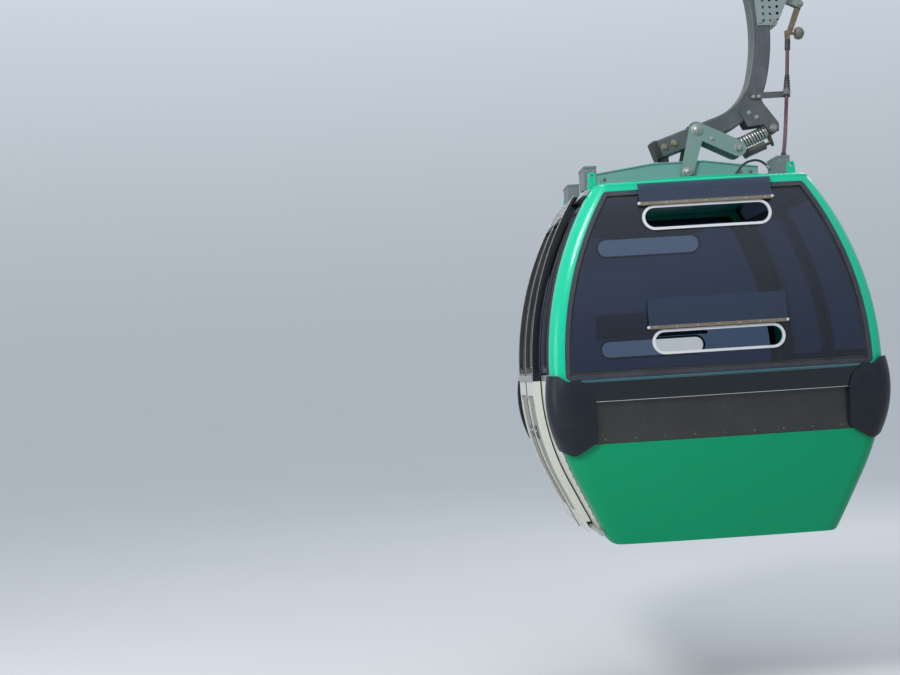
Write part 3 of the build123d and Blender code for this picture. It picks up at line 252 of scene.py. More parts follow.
def closed_band(batch: Batch, loops: np.ndarray) -> None:
    """Add a frame-shaped shell: closed loops joined one to the next, and the last to the first.

    Args:
        batch: Where the shell goes.
        loops: Points of each loop, of the same count.
    """
    rows, columns = loops.shape[:2]
    quads = grid_quads(rows + 1, columns, True)
    total = rows * columns
    batch.add(loops, [tuple(i % total for i in quad) for quad in quads])


def tube(batch: Batch, path: np.ndarray, section: np.ndarray, up: Point = (0.0, 1.0, 0.0),
         scale: np.ndarray | None = None) -> None:
    """Add a section carried along a path, with flat caps.

    The point for path step i and section point j is path[i] + scale[i] * (a[j] * side + b[j] * lift), where
    side and lift are square to the path's direction and side lies across the given up direction.

    Args:
        batch: Where the shell goes.
        path: Centre line, one row for each step.
        section: Closed outline in the plane square to the path, as a and b.
        up: Direction that the section's second axis leans to.
        scale: Size of the section at each step, or None for 1 throughout.
    """
    path = np.asarray(path, float)
    ahead = np.gradient(path, axis=0)
    ahead /= np.linalg.norm(ahead, axis=1)[:, None]
    side = np.cross(ahead, np.asarray(up, float))
    side /= np.linalg.norm(side, axis=1)[:, None]
    lift = np.cross(side, ahead)
    grow = np.ones(len(path)) if scale is None else np.asarray(scale, float)
    offset = section[None, :, 0, None] * side[:, None] + section[None, :, 1, None] * lift[:, None]
    closed_prism(batch, path[:, None] + grow[:, None, None] * offset)


def on_circle(turn: np.ndarray, radius: float = 1.0) -> np.ndarray:
    """Points at given turns: radius times their cosine and sine."""
    return radius * np.stack([np.cos(turn), np.sin(turn)], axis=-1)


def circle(radius: float, count: int = 24) -> np.ndarray:
    """Points of a circle at equal turns."""
    return on_circle(np.linspace(0, 2 * math.pi, count, endpoint=False), radius)


def rounded_box(width: float, height: float, radius: float, steps: int = 5) -> np.ndarray:
    """Rectangle with round corners, each a quarter turn about a point set in by the radius.

    Args:
        width: Size along the first axis.
        height: Size along the second axis.
        radius: Corner radius.
        steps: Points on each corner.

    Returns:
        The outline, one row for each point.
    """
    quarter = np.linspace(0, math.pi / 2, steps)
    corners = []
    for start, x, y in ((0, 1, 1), (1, -1, 1), (2, -1, -1), (3, 1, -1)):
        centre = np.array([x * (width / 2 - radius), y * (height / 2 - radius)])
        corners.append(centre + on_circle(quarter + start * math.pi / 2, radius))
    return np.concatenate(corners)


def link_outline(first_r: float, second_r: float, apart: float, count: int = 20) -> np.ndarray:
    """Outline round two circles: an arc about each, joined by the lines that touch both.

    Args:
        first_r: Radius about the origin.
        second_r: Radius about the other middle.
        apart: Distance of that middle along the first axis.
        count: Points on each arc.

    Returns:
        The outline, one row for each point.
    """
    touch = math.acos((first_r - second_r) / apart)
    first = on_circle(np.linspace(touch, 2 * math.pi - touch, count), first_r)
    second = on_circle(np.linspace(-touch, touch, count), second_r)
    return np.concatenate([first, second + [apart, 0.0]])


def helix(turns: int, steps: int, radius: float) -> tuple[np.ndarray, np.ndarray]:
    """Centre line of a spring's wire: it turns once more than it climbs, so that both ends lie flat.

    Args:
        turns: Turns while it climbs.
        steps: Steps along the wire.
        radius: Distance of the line from the axis.

    Returns:
        Offsets across the axis, and the part of the climb, at each step.
    """
    turned_by = np.linspace(0, 1, steps + 1) * (turns + 1)
    climb = np.clip((turned_by - 0.5) / turns, 0, 1)
    return on_circle(2 * math.pi * turned_by, radius), climb


def circle_through(points: Pairs) -> tuple[np.ndarray, float]:
    """Circle through three points.

    Args:
        points: The three points of a plane.

    Returns:
        Its middle and its radius.
    """
    a, b, c = (np.array(point) for point in points)
    middle = np.linalg.solve([b - a, c - a], 0.5 * np.array([b @ b - a @ a, c @ c - a @ a]))
    return middle, float(np.linalg.norm(middle - a))


def turned(batch: Batch, profile: Pairs, origin: Point, axis: Point, count: int = 32) -> None:
    """Add a turned shape: each profile point (along, radius) is swung round the axis.

    Args:
        batch: Where the shell goes.
        profile: Distance along the axis and radius, from one end to the other.
        origin: Where distance 0 lies.
        axis: Direction of the axis.
        count: Steps round it.
    """
    ahead = Vector(axis).normalized()
    side = np.array(ahead.orthogonal().normalized())
    ahead = np.array(ahead)
    lift = np.cross(ahead, side)
    along, radius = np.array(profile, float).T
    turn = np.linspace(0, 2 * math.pi, count, endpoint=False)
    ring = np.cos(turn)[:, None] * side + np.sin(turn)[:, None] * lift
    middle = np.asarray(origin, float) + along[:, None, None] * ahead
    closed_prism(batch, middle + radius[:, None, None] * ring)


def hex_bolt(batch: Batch, seat: Point, outward: Point, across: float) -> None:
    """Add a hexagon head on a washer: a six-step and a round turned shape.

    Args:
        batch: Where the shells go.
        seat: Point on the surface under the head.
        outward: Direction that the head points in.
        across: Width over two corners of the head.
    """
    low, high = across * 0.1, across * 0.36
    washer = [(-0.0005, across * 0.72), (low * 0.8, across * 0.72), (low, across * 0.68)]
    head = [(low - 0.0002, across / 2), (low + high * 0.8, across / 2), (low + high, across * 0.42)]
    turned(batch, washer, seat, outward, 20)
    turned(batch, head, seat, outward, 6)


def bolt_pair(batch: Batch, x: float, face: float, rise: float, across: float) -> None:
    """Add a bolt on both faces of a part, at an X, a distance from the middle plane and a rise."""
    for sign in (-1, 1):
        hex_bolt(batch, (x, sign * face, ROOF_Z + rise), (0, sign, 0), across)


def pan_screw(batch: Batch, seat: Point, outward: Point, radius: float) -> None:
    """Add a low domed screw head: its height falls with the square of the distance from its middle.

    Args:
        batch: Where the shell goes.
        seat: Point on the surface under the head.
        outward: Direction that the head points in.
        radius: Radius of the head.
    """
    reach = np.linspace(1.0, 0.15, 6)
    profile = [(-0.0005, radius)] + [(radius * 0.55 * (1 - r * r) + 0.0004, radius * r) for r in reach]
    turned(batch, profile, seat, outward, 16)


def slab(batch: Batch, outer: np.ndarray, inner: np.ndarray) -> None:
    """Add a closed plate between two grids of points of the same shape.

    Args:
        batch: Where the shell goes.
        outer: Grid of points of the outer face.
        inner: Grid of points of the inner face.
    """
    rows, columns = outer.shape[:2]
    total = rows * columns
    quads = grid_quads(rows, columns, False)
    faces = quads + [tuple(i + total for i in quad[::-1]) for quad in quads]
    rim = ([r * columns for r in range(rows)] + [(rows - 1) * columns + c for c in range(1, columns)]
           + [r * columns + columns - 1 for r in range(rows - 2, -1, -1)]
           + [c for c in range(columns - 2, 0, -1)])
    faces += [(a, b, b + total, a + total) for a, b in zip(rim, rim[1:] + rim[:1])]
    batch.add(np.concatenate([outer.reshape(-1, 3), inner.reshape(-1, 3)]), faces)


def plate(batch: Batch, middle: np.ndarray, over: float, under: float) -> None:
    """Add a closed level plate: a grid of points raised by one distance and lowered by another."""
    slab(batch, middle + [0, 0, over], middle - [0, 0, under])


# Shape of the cabin


@dataclass(frozen=True)
class CabinForm:
    """Outer form of the cabin: two arcs and a lean across, two arcs and a plan bulge along."""

    belt_half_width: float = 0.887
    belt_top: float = 1.000
    belt_foot: float = 1.060
    side_upper_r: float = 1.782
    side_lower_r: float = 1.227
    side_lean: float = math.radians(25.4)
    belt_half_length: float = 0.930
    end_upper_r: float = 4.386
    end_lower_r: float = 2.877
    end_bulge_r: float = 9.000

    def side_x(self, drop: Numbers, grow: float = 0.0) -> np.ndarray:
        """Half width: an arc above the belt, an arc below it, then a straight lean.

        Args:
            drop: Drop below the roof edge.
            grow: Distance outside the surface.

        Returns:
            Half width at each drop.
        """
        drop = np.asarray(drop, float)
        upper = self.side_upper_r + grow
        lower = self.side_lower_r + grow
        rise = np.clip(self.belt_top - drop, 0, None)
        fall = np.clip(drop - self.belt_foot, 0, None)
        knee = lower * math.sin(self.side_lean)
        above = self.belt_half_width - self.side_upper_r + np.sqrt(upper ** 2 - rise ** 2)
        bowed = (self.belt_half_width - self.side_lower_r
                 + np.sqrt(np.clip(lower ** 2 - np.minimum(fall, knee) ** 2, 0, None)))
        below = bowed - np.clip(fall - knee, 0, None) * math.tan(self.side_lean)
        return np.where(drop < self.belt_top, above, below)

    def end_y(self, drop: Numbers, x: Numbers = 0.0, grow: float = 0.0) -> np.ndarray:
        """Half length: an arc above the belt, another below, less the bulge away from the middle.

        Args:
            drop: Drop below the roof edge.
            x: Distance from the middle.
            grow: Distance outside the surface.

        Returns:
            Half length at each drop and X.
        """
        drop = np.asarray(drop, float)
        radius = np.where(drop < self.belt_foot, self.end_upper_r, self.end_lower_r)
        reach = self.belt_half_length - radius + np.sqrt((radius + grow) ** 2 - (self.belt_foot - drop) ** 2)
        axis = self.end_bulge_r - self.belt_half_length
        return np.sqrt((reach + axis) ** 2 - np.asarray(x, float) ** 2) - axis

    def end_point(self, x: np.ndarray, drop: np.ndarray, end: End, grow: float = 0.0) -> np.ndarray:
        """Points on an end surface, from distances from the middle, drops and a distance outside it."""
        x, drop = np.asarray(x, float), np.asarray(drop, float)
        return grid_of(x, end.value * self.end_y(drop, x, grow), ROOF_Z - drop)

    def side_point(self, y: Numbers, drop: Numbers, side: Side,
                   grow: float = 0.0) -> np.ndarray:
        """Points on a side surface.

        Args:
            y: Distances along the rope.
            drop: Drops below the roof edge, of a shape that goes with y.
            side: Which side.
            grow: Distance outside the surface.

        Returns:
            Points with a last axis of X, Y and Z.
        """
        drop = np.asarray(drop, float)
        lean, rise = np.moveaxis(self.side_normal(drop), -1, 0)
        return grid_of(side.value * (self.side_x(drop) + grow * lean), y, ROOF_Z - drop + grow * rise)

    def side_normal(self, drop: Numbers) -> np.ndarray:
        """Outward normal of the right side, from the slope of the half width.

        Args:
            drop: Drop below the roof edge.

        Returns:
            Normals with a last axis of X and Z.
        """
        drop = np.asarray(drop, float)
        slope = (self.side_x(drop + SLOPE_STEP) - self.side_x(drop - SLOPE_STEP)) / (2 * SLOPE_STEP)
        length = np.sqrt(1 + slope ** 2)
        return np.stack([1 / length, slope / length], axis=-1)

    def end_normal(self, x: float, drop: float, end: End) -> np.ndarray:
        """Outward unit normal of an end surface."""
        return face_normal(lambda across, down: self.end_y(down, across), x, drop, end)


def face_normal(reach: Callable[[float, float], float], x: float, drop: float, end: End) -> np.ndarray:
    """Outward normal of an end face, from the slopes of its half length.

    Args:
        reach: Half length as a function of X and drop.
        x: Distance from the middle.
        drop: Drop below the roof edge.
        end: Which end.

    Returns:
        Unit normal.
    """
    across = reach(x + SLOPE_STEP, drop) - reach(x - SLOPE_STEP, drop)
    down = reach(x, drop + SLOPE_STEP) - reach(x, drop - SLOPE_STEP)
    return unit((-across, 2 * SLOPE_STEP * end.value, down))


FORM = CabinForm()


def end_screw(batch: Batch, x: float, drop: float, end: End, grow: float, radius: float) -> None:
    """Add a screw or rivet head square to an end surface, or standing off it by grow."""
    pan_screw(batch, FORM.end_point(x, drop, end, grow), FORM.end_normal(x, drop, end), radius)


def side_screw(batch: Batch, y: float, drop: float, side: Side, grow: float, radius: float) -> None:
    """Add a screw or rivet head square to a side surface, or standing off it by grow."""
    lean, rise = FORM.side_normal(drop)
    pan_screw(batch, FORM.side_point(y, drop, side, grow), (side.value * lean, 0, rise), radius)


# Finishes


COLOUR, VALUE = "NodeSocketColor", "NodeSocketFloat"
GREY = (0.5, 0.5, 0.5, 1)


class Nodes:
    """Short ways to place and join shader nodes in one tree."""

    def __init__(self, tree: bpy.types.NodeTree) -> None:
        """Work on a tree."""
        self.tree = tree

    def feed(self, node: Node, inputs: dict[str | int, object]) -> None:
        """Give inputs of a node a number, a colour or another node's output.

        Args:
            node: The node.
            inputs: What each input gets, by its name or place.
        """
        for key, source in inputs.items():
            if isinstance(source, Socket):
                self.tree.links.new(source, node.inputs[key])
            else:
                node.inputs[key].default_value = source

    def put(self, kind: str, inputs: dict[str | int, object] | None = None,
            **values: object) -> Node:
        """Place a node.

        Args:
            kind: Type of the node.
            inputs: What each input gets, by its name or place.
            **values: Properties of the node, which are set before its inputs.

        Returns:
            The node.
        """
        node = self.tree.nodes.new(kind)
        for key, value in values.items():
            setattr(node, key, value)
        self.feed(node, inputs or {})
        return node

    def group(self, tree: bpy.types.NodeTree, **inputs: object) -> Node:
        """Place a shared group with its inputs."""
        return self.put("ShaderNodeGroup", inputs, node_tree=tree)

    def where(self) -> Socket:
        """Object coordinates of the surface."""
        return self.put("ShaderNodeTexCoord").outputs["Object"]

    def parts(self, vector: Socket) -> bpy.types.bpy_prop_collection:
        """The three parts of a vector."""
        return self.put("ShaderNodeSeparateXYZ", {0: vector}).outputs

    def stretched(self, vector: Socket, scale: Point) -> Socket:
        """A vector with its parts scaled."""
        return self.put("ShaderNodeMapping", {"Vector": vector, "Scale": scale}).outputs["Vector"]

    def noise(self, vector: Socket, scale: object, detail: float = 4.0,
              roughness: float = 0.55) -> Socket:
        """Fractal noise of a vector."""
        inputs = {"Vector": vector, "Scale": scale, "Detail": detail, "Roughness": roughness}
        return self.put("ShaderNodeTexNoise", inputs).outputs["Fac"]

    def math(self, operation: str, a: object, b: object, c: object = 0.0,
             clamp: bool = False) -> Socket:
        """One arithmetic step."""
        node = self.put("ShaderNodeMath", {0: a, 1: b, 2: c}, operation=operation, use_clamp=clamp)
        return node.outputs[0]

    def span(self, value: object, low: float, high: float, start: float = 0.0,
             end: float = 1.0) -> Socket:
        """Smooth change from start to end while the value goes from low to high."""
        inputs = {"Value": value, "From Min": low, "From Max": high, "To Min": start, "To Max": end}
        return self.put("ShaderNodeMapRange", inputs, interpolation_type="SMOOTHSTEP").outputs["Result"]

    def mix(self, factor: object, a: object, b: object) -> Socket:
        """Blend of two colours."""
        return self.put("ShaderNodeMix", {0: factor, 6: a, 7: b}, data_type="RGBA").outputs[2]

    def between(self, factor: object, a: object, b: object) -> Socket:
        """Blend of two numbers."""
        return self.put("ShaderNodeMix", {0: factor, 2: a, 3: b}, data_type="FLOAT").outputs[0]


def group_of(name: str, inputs: dict[str, object],
             outputs: dict[str, str]) -> tuple[Nodes, bpy.types.bpy_prop_collection, Node]:
    """Start a shader node group.

    Args:
        name: Name of the group.
        inputs: Start value of each input, a colour or a number.
        outputs: Socket type of each output.

    Returns:
        The helper of its nodes, the sockets that bring its inputs, and its output node.
    """
    tree = bpy.data.node_groups.new(name, "ShaderNodeTree")
    for label, value in inputs.items():
        kind = COLOUR if isinstance(value, tuple) else VALUE
        tree.interface.new_socket(label, in_out="INPUT", socket_type=kind).default_value = value
    for label, kind in outputs.items():
        tree.interface.new_socket(label, in_out="OUTPUT", socket_type=kind)
    return Nodes(tree), tree.nodes.new("NodeGroupInput").outputs, tree.nodes.new("NodeGroupOutput")


def new_material(name: str) -> tuple[Material, Nodes, Node]:
    """Start a material.

    Args:
        name: Name of the material.

    Returns:
        The material, the helper of its nodes and its Principled shader.
    """
    material = bpy.data.materials.new(name)
    material.use_nodes = True
    return material, Nodes(material.node_tree), material.node_tree.nodes["Principled BSDF"]


class SharedGroups:
    """Node groups that several finishes use, each built once."""

    def __init__(self) -> None:
        """Build them all."""
        self.dust = self.dust_group()
        self.streaks = self.streak_group()
        self.grain = self.grain_group()
        self.mottle = self.mottle_group()

    def dust_group(self) -> bpy.types.NodeTree:
        """Film of dust: soft patches, thicker on faces that look up.

        Returns:
            Group with inputs Clean, Dust and Amount, outputs Colour and Mask.
        """
        n, given, end = group_of("dust film", {"Clean": GREY, "Dust": (0.4, 0.38, 0.33, 1), "Amount": 0.2},
                                 {"Colour": COLOUR, "Mask": VALUE})
        where = n.where()
        facing = n.parts(n.put("ShaderNodeNewGeometry").outputs["Normal"])[2]
        patches = n.span(n.noise(where, 7.0, 6.0, 0.62), 0.35, 0.72)
        fine = n.span(n.noise(where, 60.0, 3.0, 0.6), 0.3, 0.8, 0.75, 1.1)
        film = n.math("MULTIPLY_ADD", n.span(facing, 0.1, 0.95), 0.9, 0.25)
        mask = n.math("MULTIPLY", n.math("MULTIPLY", patches, film), fine)
        mask = n.math("MULTIPLY", mask, given["Amount"], clamp=True)
        n.feed(end, {"Colour": n.mix(mask, given["Clean"], given["Dust"]), "Mask": mask})
        return n.tree

    def streak_group(self) -> bpy.types.NodeTree:
        """Run-off streaks: noise drawn out along Z, so that it falls down the walls.

        Returns:
            Group with inputs Clean, Stain and Amount, outputs Colour and Mask.
        """
        n, given, end = group_of("rain streaks", {"Clean": GREY, "Stain": (0.2, 0.2, 0.18, 1), "Amount": 0.2},
                                 {"Colour": COLOUR, "Mask": VALUE})
        where = n.where()
        long_runs = n.span(n.noise(n.stretched(where, (46, 46, 1.6)), 1.0, 5.0, 0.6), 0.5, 0.78)
        broad = n.span(n.noise(where, 3.0, 3.0, 0.5), 0.35, 0.7)
        mask = n.math("MULTIPLY", n.math("MULTIPLY", long_runs, broad), given["Amount"], clamp=True)
        n.feed(end, {"Colour": n.mix(mask, given["Clean"], given["Stain"]), "Mask": mask})
        return n.tree

    def grain_group(self) -> bpy.types.NodeTree:
        """Moulded or sprayed grain: two sizes of fine noise.

        Returns:
            Group with input Scale, outputs Height and Spread.
        """
        n, given, end = group_of("fine grain", {"Scale": 400.0}, {"Height": VALUE, "Spread": VALUE})
        where = n.where()
        fine = n.noise(where, given["Scale"], 2.0, 0.5)
        coarse = n.noise(where, n.math("MULTIPLY", given["Scale"], 0.22), 2.0, 0.5)
        height = n.math("MULTIPLY_ADD", fine, 0.7, n.math("MULTIPLY", coarse, 0.3))
        n.feed(end, {"Height": height, "Spread": coarse})
        return n.tree

    def mottle_group(self) -> bpy.types.NodeTree:
        """Mottled metal: crystal patches of cells mixed with stains of noise.

        Returns:
            Group with inputs Light, Dark, Scale, Stain and Stained, outputs Colour and Patch.
        """
        n, given, end = group_of("mottled metal", {"Light": (0.6, 0.6, 0.6, 1), "Dark": (0.4, 0.4, 0.4, 1),
                                                   "Scale": 60.0, "Stain": (0.2, 0.15, 0.1, 1),
                                                   "Stained": 0.3},
                                 {"Colour": COLOUR, "Patch": VALUE})
        where = n.where()
        cells = n.put("ShaderNodeTexVoronoi", {"Vector": where, "Scale": given["Scale"]}, feature="SMOOTH_F1")
        patch = n.span(cells.outputs["Distance"], 0.1, 0.8)
        metal = n.mix(patch, given["Light"], given["Dark"])
        stain = n.span(n.noise(where, 22.0, 7.0, 0.68), 0.5, 0.75)
        stain = n.math("MULTIPLY", stain, given["Stained"], clamp=True)
        n.feed(end, {"Colour": n.mix(stain, metal, given["Stain"]), "Patch": patch})
        return n.tree


@dataclass(frozen=True)
class Finish:
    """A painted, moulded or metal surface with its dust, streaks, grain and gloss."""

    name: str
    colour: Rgb
    second: Rgb
    pattern: Pattern = Pattern.SMOOTH
    dirt: Rgb = (0.36, 0.33, 0.28)
    dust: float = 0.5
    streaks: float = 0.1
    rough: float = 0.42
    spread: float = 0.12
    metallic: float = 0.0
    coat: float = 0.0
    coat_rough: float = 0.06
    gloss: float = 0.5
    grain_scale: float = 420.0
    grain: float = 0.0
    least_depth: float = 1e-5
    wave_scale: float = 0.0
    wave_depth: float = 0.0012

    def build(self, shared: SharedGroups) -> Material:
        """Make the material.

        Args:
            shared: Node groups that it places.

        Returns:
            The material, with its shader joined up.
        """
        material, n, shader = new_material(self.name)
        grain = n.group(shared.grain, Scale=self.grain_scale)
        dust = n.group(shared.dust, Clean=self.base_colour(n, shared, grain), Dust=(*self.dirt, 1),
                       Amount=self.dust)
        stain = (*(0.6 * c for c in self.dirt), 1)
        runs = n.group(shared.streaks, Clean=dust.outputs["Colour"], Stain=stain, Amount=self.streaks)
        low, high = self.rough - self.spread / 2, self.rough + self.spread / 2
        rough = n.span(grain.outputs["Spread"], 0.3, 0.7, low, high)
        dusty = n.math("MULTIPLY", dust.outputs["Mask"], 0.4)
        n.feed(shader, {"Base Color": runs.outputs["Colour"], "Metallic": self.metallic,
                        "Roughness": n.math("ADD", rough, dusty, clamp=True),
                        "Specular IOR Level": self.gloss, "Coat Weight": self.coat,
                        "Coat Roughness": self.coat_rough, "Normal": self.relief(n, grain)})
        return material

    def base_colour(self, n: Nodes, shared: SharedGroups, grain: Node) -> Socket:
        """Colour before dust, by the pattern.

        Args:
            n: The helper of the material's nodes.
            shared: Node groups to place.
            grain: The placed grain group.

        Returns:
            A socket that carries the colour.
        """
        first, second = (*self.colour, 1), (*self.second, 1)
        if self.pattern is Pattern.MOTTLED:
            mottle = n.group(shared.mottle, Light=first, Dark=second, Stain=(*self.dirt, 1),
                             Stained=self.dust * 2)
            return mottle.outputs["Colour"]
        if self.pattern is Pattern.STREAKED:
            brushed = n.noise(n.stretched(n.where(), (3, 260, 260)), 1.0, 3.0)
            return n.mix(n.span(brushed, 0.3, 0.7), first, second)
        if self.pattern is Pattern.GRAINED:
            return n.mix(n.span(grain.outputs["Spread"], 0.35, 0.65), first, second)
        faded = n.span(n.noise(n.where(), 1.7, 3.0), 0.3, 0.75, 0.0, 0.35)
        return n.mix(faded, first, second)

    def relief(self, n: Nodes, grain: Node) -> Socket:
        """Bump from the grain, and from slow waves where the finish has them.

        Args:
            n: The helper of the material's nodes.
            grain: The placed grain group.

        Returns:
            The bumped normal.
        """
        inputs = {"Strength": 1.0, "Distance": max(self.grain, self.least_depth),
                  "Height": grain.outputs["Height"]}
        if self.wave_scale:
            swell = n.noise(n.where(), self.wave_scale, 2.0)
            waves = n.put("ShaderNodeBump", {"Strength": 0.5, "Distance": self.wave_depth, "Height": swell})
            inputs["Normal"] = waves.outputs["Normal"]
        return n.put("ShaderNodeBump", inputs).outputs["Normal"]


@dataclass(frozen=True)
class Glazing:
    """Tinted glass or clear sheet, with a faint film of dust that dulls it."""

    name: str
    tint: Rgb
    rough: float
    film: float
    clear: float
    dust: Rgb = (0.30, 0.31, 0.31)
    dust_rough: float = 0.12
    ior: float = 1.5

    def build(self, shared: SharedGroups) -> Material:
        """Make the material.

        Args:
            shared: Node groups that it places.

        Returns:
            The material, with its shader joined up.
        """
        material, n, shader = new_material(self.name)
        dust = n.group(shared.dust, Clean=(*self.tint, 1), Dust=(*self.dust, 1), Amount=self.film)
        rough = n.math("MULTIPLY_ADD", dust.outputs["Mask"], self.dust_rough, self.rough)
        n.feed(shader, {"Base Color": dust.outputs["Colour"], "Roughness": rough,
                        "Transmission Weight": self.clear, "IOR": self.ior})
        return material


@dataclass(frozen=True)
class Banded:
    """One finish above a level line and another below it, as on the belt and the side panels."""

    name: str
    upper: Rgb
    upper_rough: float
    lower: Finish
    line_drop: float
    line_soft: float = 0.001

    def build(self, shared: SharedGroups) -> Material:
        """Make the material.

        Args:
            shared: Node groups that it places.

        Returns:
            The material, with its shader joined up.
        """
        material = self.lower.build(shared)
        material.name = self.name
        n = Nodes(material.node_tree)
        shader = material.node_tree.nodes["Principled BSDF"]
        line = ROOF_Z - self.line_drop
        above = n.span(n.parts(n.where())[2], line - self.line_soft, line + self.line_soft)
        painted = shader.inputs["Base Color"].links[0].from_socket
        rough = shader.inputs["Roughness"].links[0].from_socket
        n.feed(shader, {"Base Color": n.mix(above, painted, (*self.upper, 1)),
                        "Roughness": n.between(above, rough, self.upper_rough)})
        return material


class Finishes:
    """Every finish of the vehicle, by name."""

    def __init__(self) -> None:
        """Build the shared groups and the materials."""
        shared = SharedGroups()
        table = [
            # The two greens below are one paint in two copies: the hoop and roof copy is lighter as painted
            # light, where the sun falls on the upward-facing hoops, and the shell copy is darker as painted
            # shade on the lower panels that face down.
            Finish("green_shell", (0.0, 0.255, 0.112), (0.0, 0.235, 0.1), rough=0.3, spread=0.02,
                   coat=0.1, gloss=0.14, dust=0.0, streaks=0.03, wave_scale=3.0),
            Finish("green_hoop", (0.0, 0.46, 0.26), (0.0, 0.42, 0.235), rough=0.26, spread=0.02, coat=0.25,
                   gloss=0.22, dust=0.02, streaks=0.03, wave_scale=3.0),
            Finish("bumper_slate", (0.008, 0.012, 0.019), (0.006, 0.009, 0.015), Pattern.GRAINED, dust=0.06,
                   streaks=0.03, gloss=0.28, rough=0.38, grain_scale=900.0, grain=0.00016),
            Finish("rubber_seal", (0.032, 0.036, 0.05), (0.026, 0.029, 0.041), Pattern.GRAINED, dust=0.18,
                   gloss=0.35, rough=0.6, grain=0.00008),
            Finish("black_rubber", (0.01, 0.01, 0.011), (0.016, 0.016, 0.017), Pattern.GRAINED, dust=0.2,
                   rough=0.55, grain=0.00008),
            Finish("trim_white", (0.56, 0.57, 0.58), (0.5, 0.5, 0.5), rough=0.35, dust=0.3, streaks=0.3,
                   grain=0.00002),
            Finish("hinge_bronze", (0.25, 0.2, 0.145), (0.17, 0.135, 0.1), Pattern.STREAKED, metallic=0.6,
                   rough=0.38, dust=0.4, streaks=0.3, grain=0.00004),
            Finish("roof_metal", (0.11, 0.28, 0.26), (0.135, 0.32, 0.3), dust=0.55, streaks=0.35,
                   grain=0.00006, wave_scale=12.0),
            Finish("box_grey", (0.13, 0.155, 0.17), (0.1, 0.12, 0.135), rough=0.45, streaks=0.4,
                   grain=0.00006),
            Finish("hanger_paint", (0.056, 0.067, 0.073), (0.078, 0.091, 0.096), rough=0.46, dust=0.4,
                   streaks=0.35, grain=0.00008, wave_scale=16.0),
            Finish("crank_paint", (0.15, 0.235, 0.222), (0.178, 0.265, 0.25), rough=0.44, dust=0.4,
                   streaks=0.4, grain=0.00007, wave_scale=16.0),
            Finish("bracket_paint", (0.185, 0.235, 0.225), (0.215, 0.265, 0.25), rough=0.46, streaks=0.5,
                   grain=0.00007, wave_scale=16.0),
            Finish("lever_bronze", (0.22, 0.185, 0.125), (0.15, 0.125, 0.085), Pattern.MOTTLED, metallic=0.6,
                   dirt=(0.05, 0.04, 0.03), dust=0.35, streaks=0.2, rough=0.45, grain=0.00008),
            Finish("spring_dark", (0.035, 0.038, 0.036), (0.055, 0.055, 0.048), dirt=(0.2, 0.18, 0.13),
                   dust=0.6, grain=0.0001),
            Finish("spring_wire", (0.52, 0.52, 0.49), (0.4, 0.4, 0.38), Pattern.MOTTLED, metallic=0.8,
                   dirt=(0.1, 0.08, 0.06), dust=0.2, streaks=0.0, rough=0.32, grain=0.00004),
            Finish("zinc", (0.4, 0.41, 0.4), (0.3, 0.31, 0.305), Pattern.MOTTLED, metallic=0.8,
                   dirt=(0.1, 0.075, 0.05), dust=0.25, streaks=0.15, rough=0.46, grain=0.00007),
            Finish("dirty_bolt", (0.24, 0.22, 0.16), (0.15, 0.13, 0.09), Pattern.MOTTLED, metallic=0.6,
                   dirt=(0.07, 0.05, 0.03), rough=0.55, grain=0.0001),
            Finish("sheath", (0.06, 0.014, 0.034), (0.08, 0.022, 0.042), dust=0.3, grain=0.00003),
            Finish("floor_grey", (0.11, 0.115, 0.12), (0.075, 0.078, 0.082), Pattern.GRAINED, rough=0.65,
                   dust=0.6, grain=0.0002),
            Finish("seat_shell", (0.34, 0.29, 0.22), (0.38, 0.33, 0.26), dust=0.25, streaks=0.05,
                   grain=0.00006),
            Finish("seat_pad", (0.06, 0.064, 0.072), (0.078, 0.082, 0.09), Pattern.GRAINED, rough=0.7,
                   dust=0.3, streaks=0.0, grain_scale=700.0, grain=0.00025),
            Finish("roller_nylon", (0.085, 0.085, 0.07), (0.13, 0.125, 0.1), Pattern.GRAINED, rough=0.5,
                   grain=0.00006),
            Finish("rail_alloy", (0.52, 0.53, 0.53), (0.44, 0.45, 0.45), Pattern.STREAKED, metallic=0.85,
                   dust=0.35, streaks=0.3, rough=0.34, grain=0.00003),
            Finish("wheel_rubber", (0.022, 0.022, 0.023), (0.032, 0.031, 0.03), Pattern.GRAINED,
                   streaks=0.05, rough=0.6, grain=0.0001),
            # Darker copy of the panel paint for the insert in the door recess: painted shade, where the
            # recess lies in shadow.
            Finish("recess_olive", (0.2, 0.205, 0.165), (0.235, 0.24, 0.2), streaks=0.6, grain=0.00005),
            Finish("pull_black", (0.012, 0.012, 0.013), (0.02, 0.02, 0.021), rough=0.3, dust=0.3,
                   grain=0.00004),
            Glazing("tinted_glass", (0.12, 0.17, 0.27), 0.015, 0.1, 0.975),
            Glazing("flap_glass", (0.09, 0.15, 0.28), 0.04, 0.1, 0.86),
            Banded("side_panel", (0.012, 0.013, 0.014), 0.12,
                   Finish("panel_paint", (0.57, 0.58, 0.52), (0.53, 0.54, 0.48), rough=0.34, dust=0.35,
                          streaks=0.35, grain=0.00003, wave_scale=9.0), 1.03),
            # Teal bead on the belt lip: its colour is a painted highlight, the sheen along the lip's top
            # edge.
            Finish("belt_bead", (0.006, 0.07, 0.09), (0.004, 0.045, 0.06), rough=0.14, coat=0.6,
                   dust=0.05, streaks=0.0, grain=0.00001),
            Banded("belt", (0.003, 0.006, 0.008), 0.1,
                   Finish("belt_band", (0.012, 0.0125, 0.013), (0.018, 0.0175, 0.017), rough=0.36, dust=0.08,
                          streaks=0.05, coat=0.3, grain=0.00004), 1.156),
        ]
        self.made = {entry.name: entry.build(shared) for entry in table}

    def __getitem__(self, name: str) -> Material:
        """The material of that name."""
        return self.made[name]


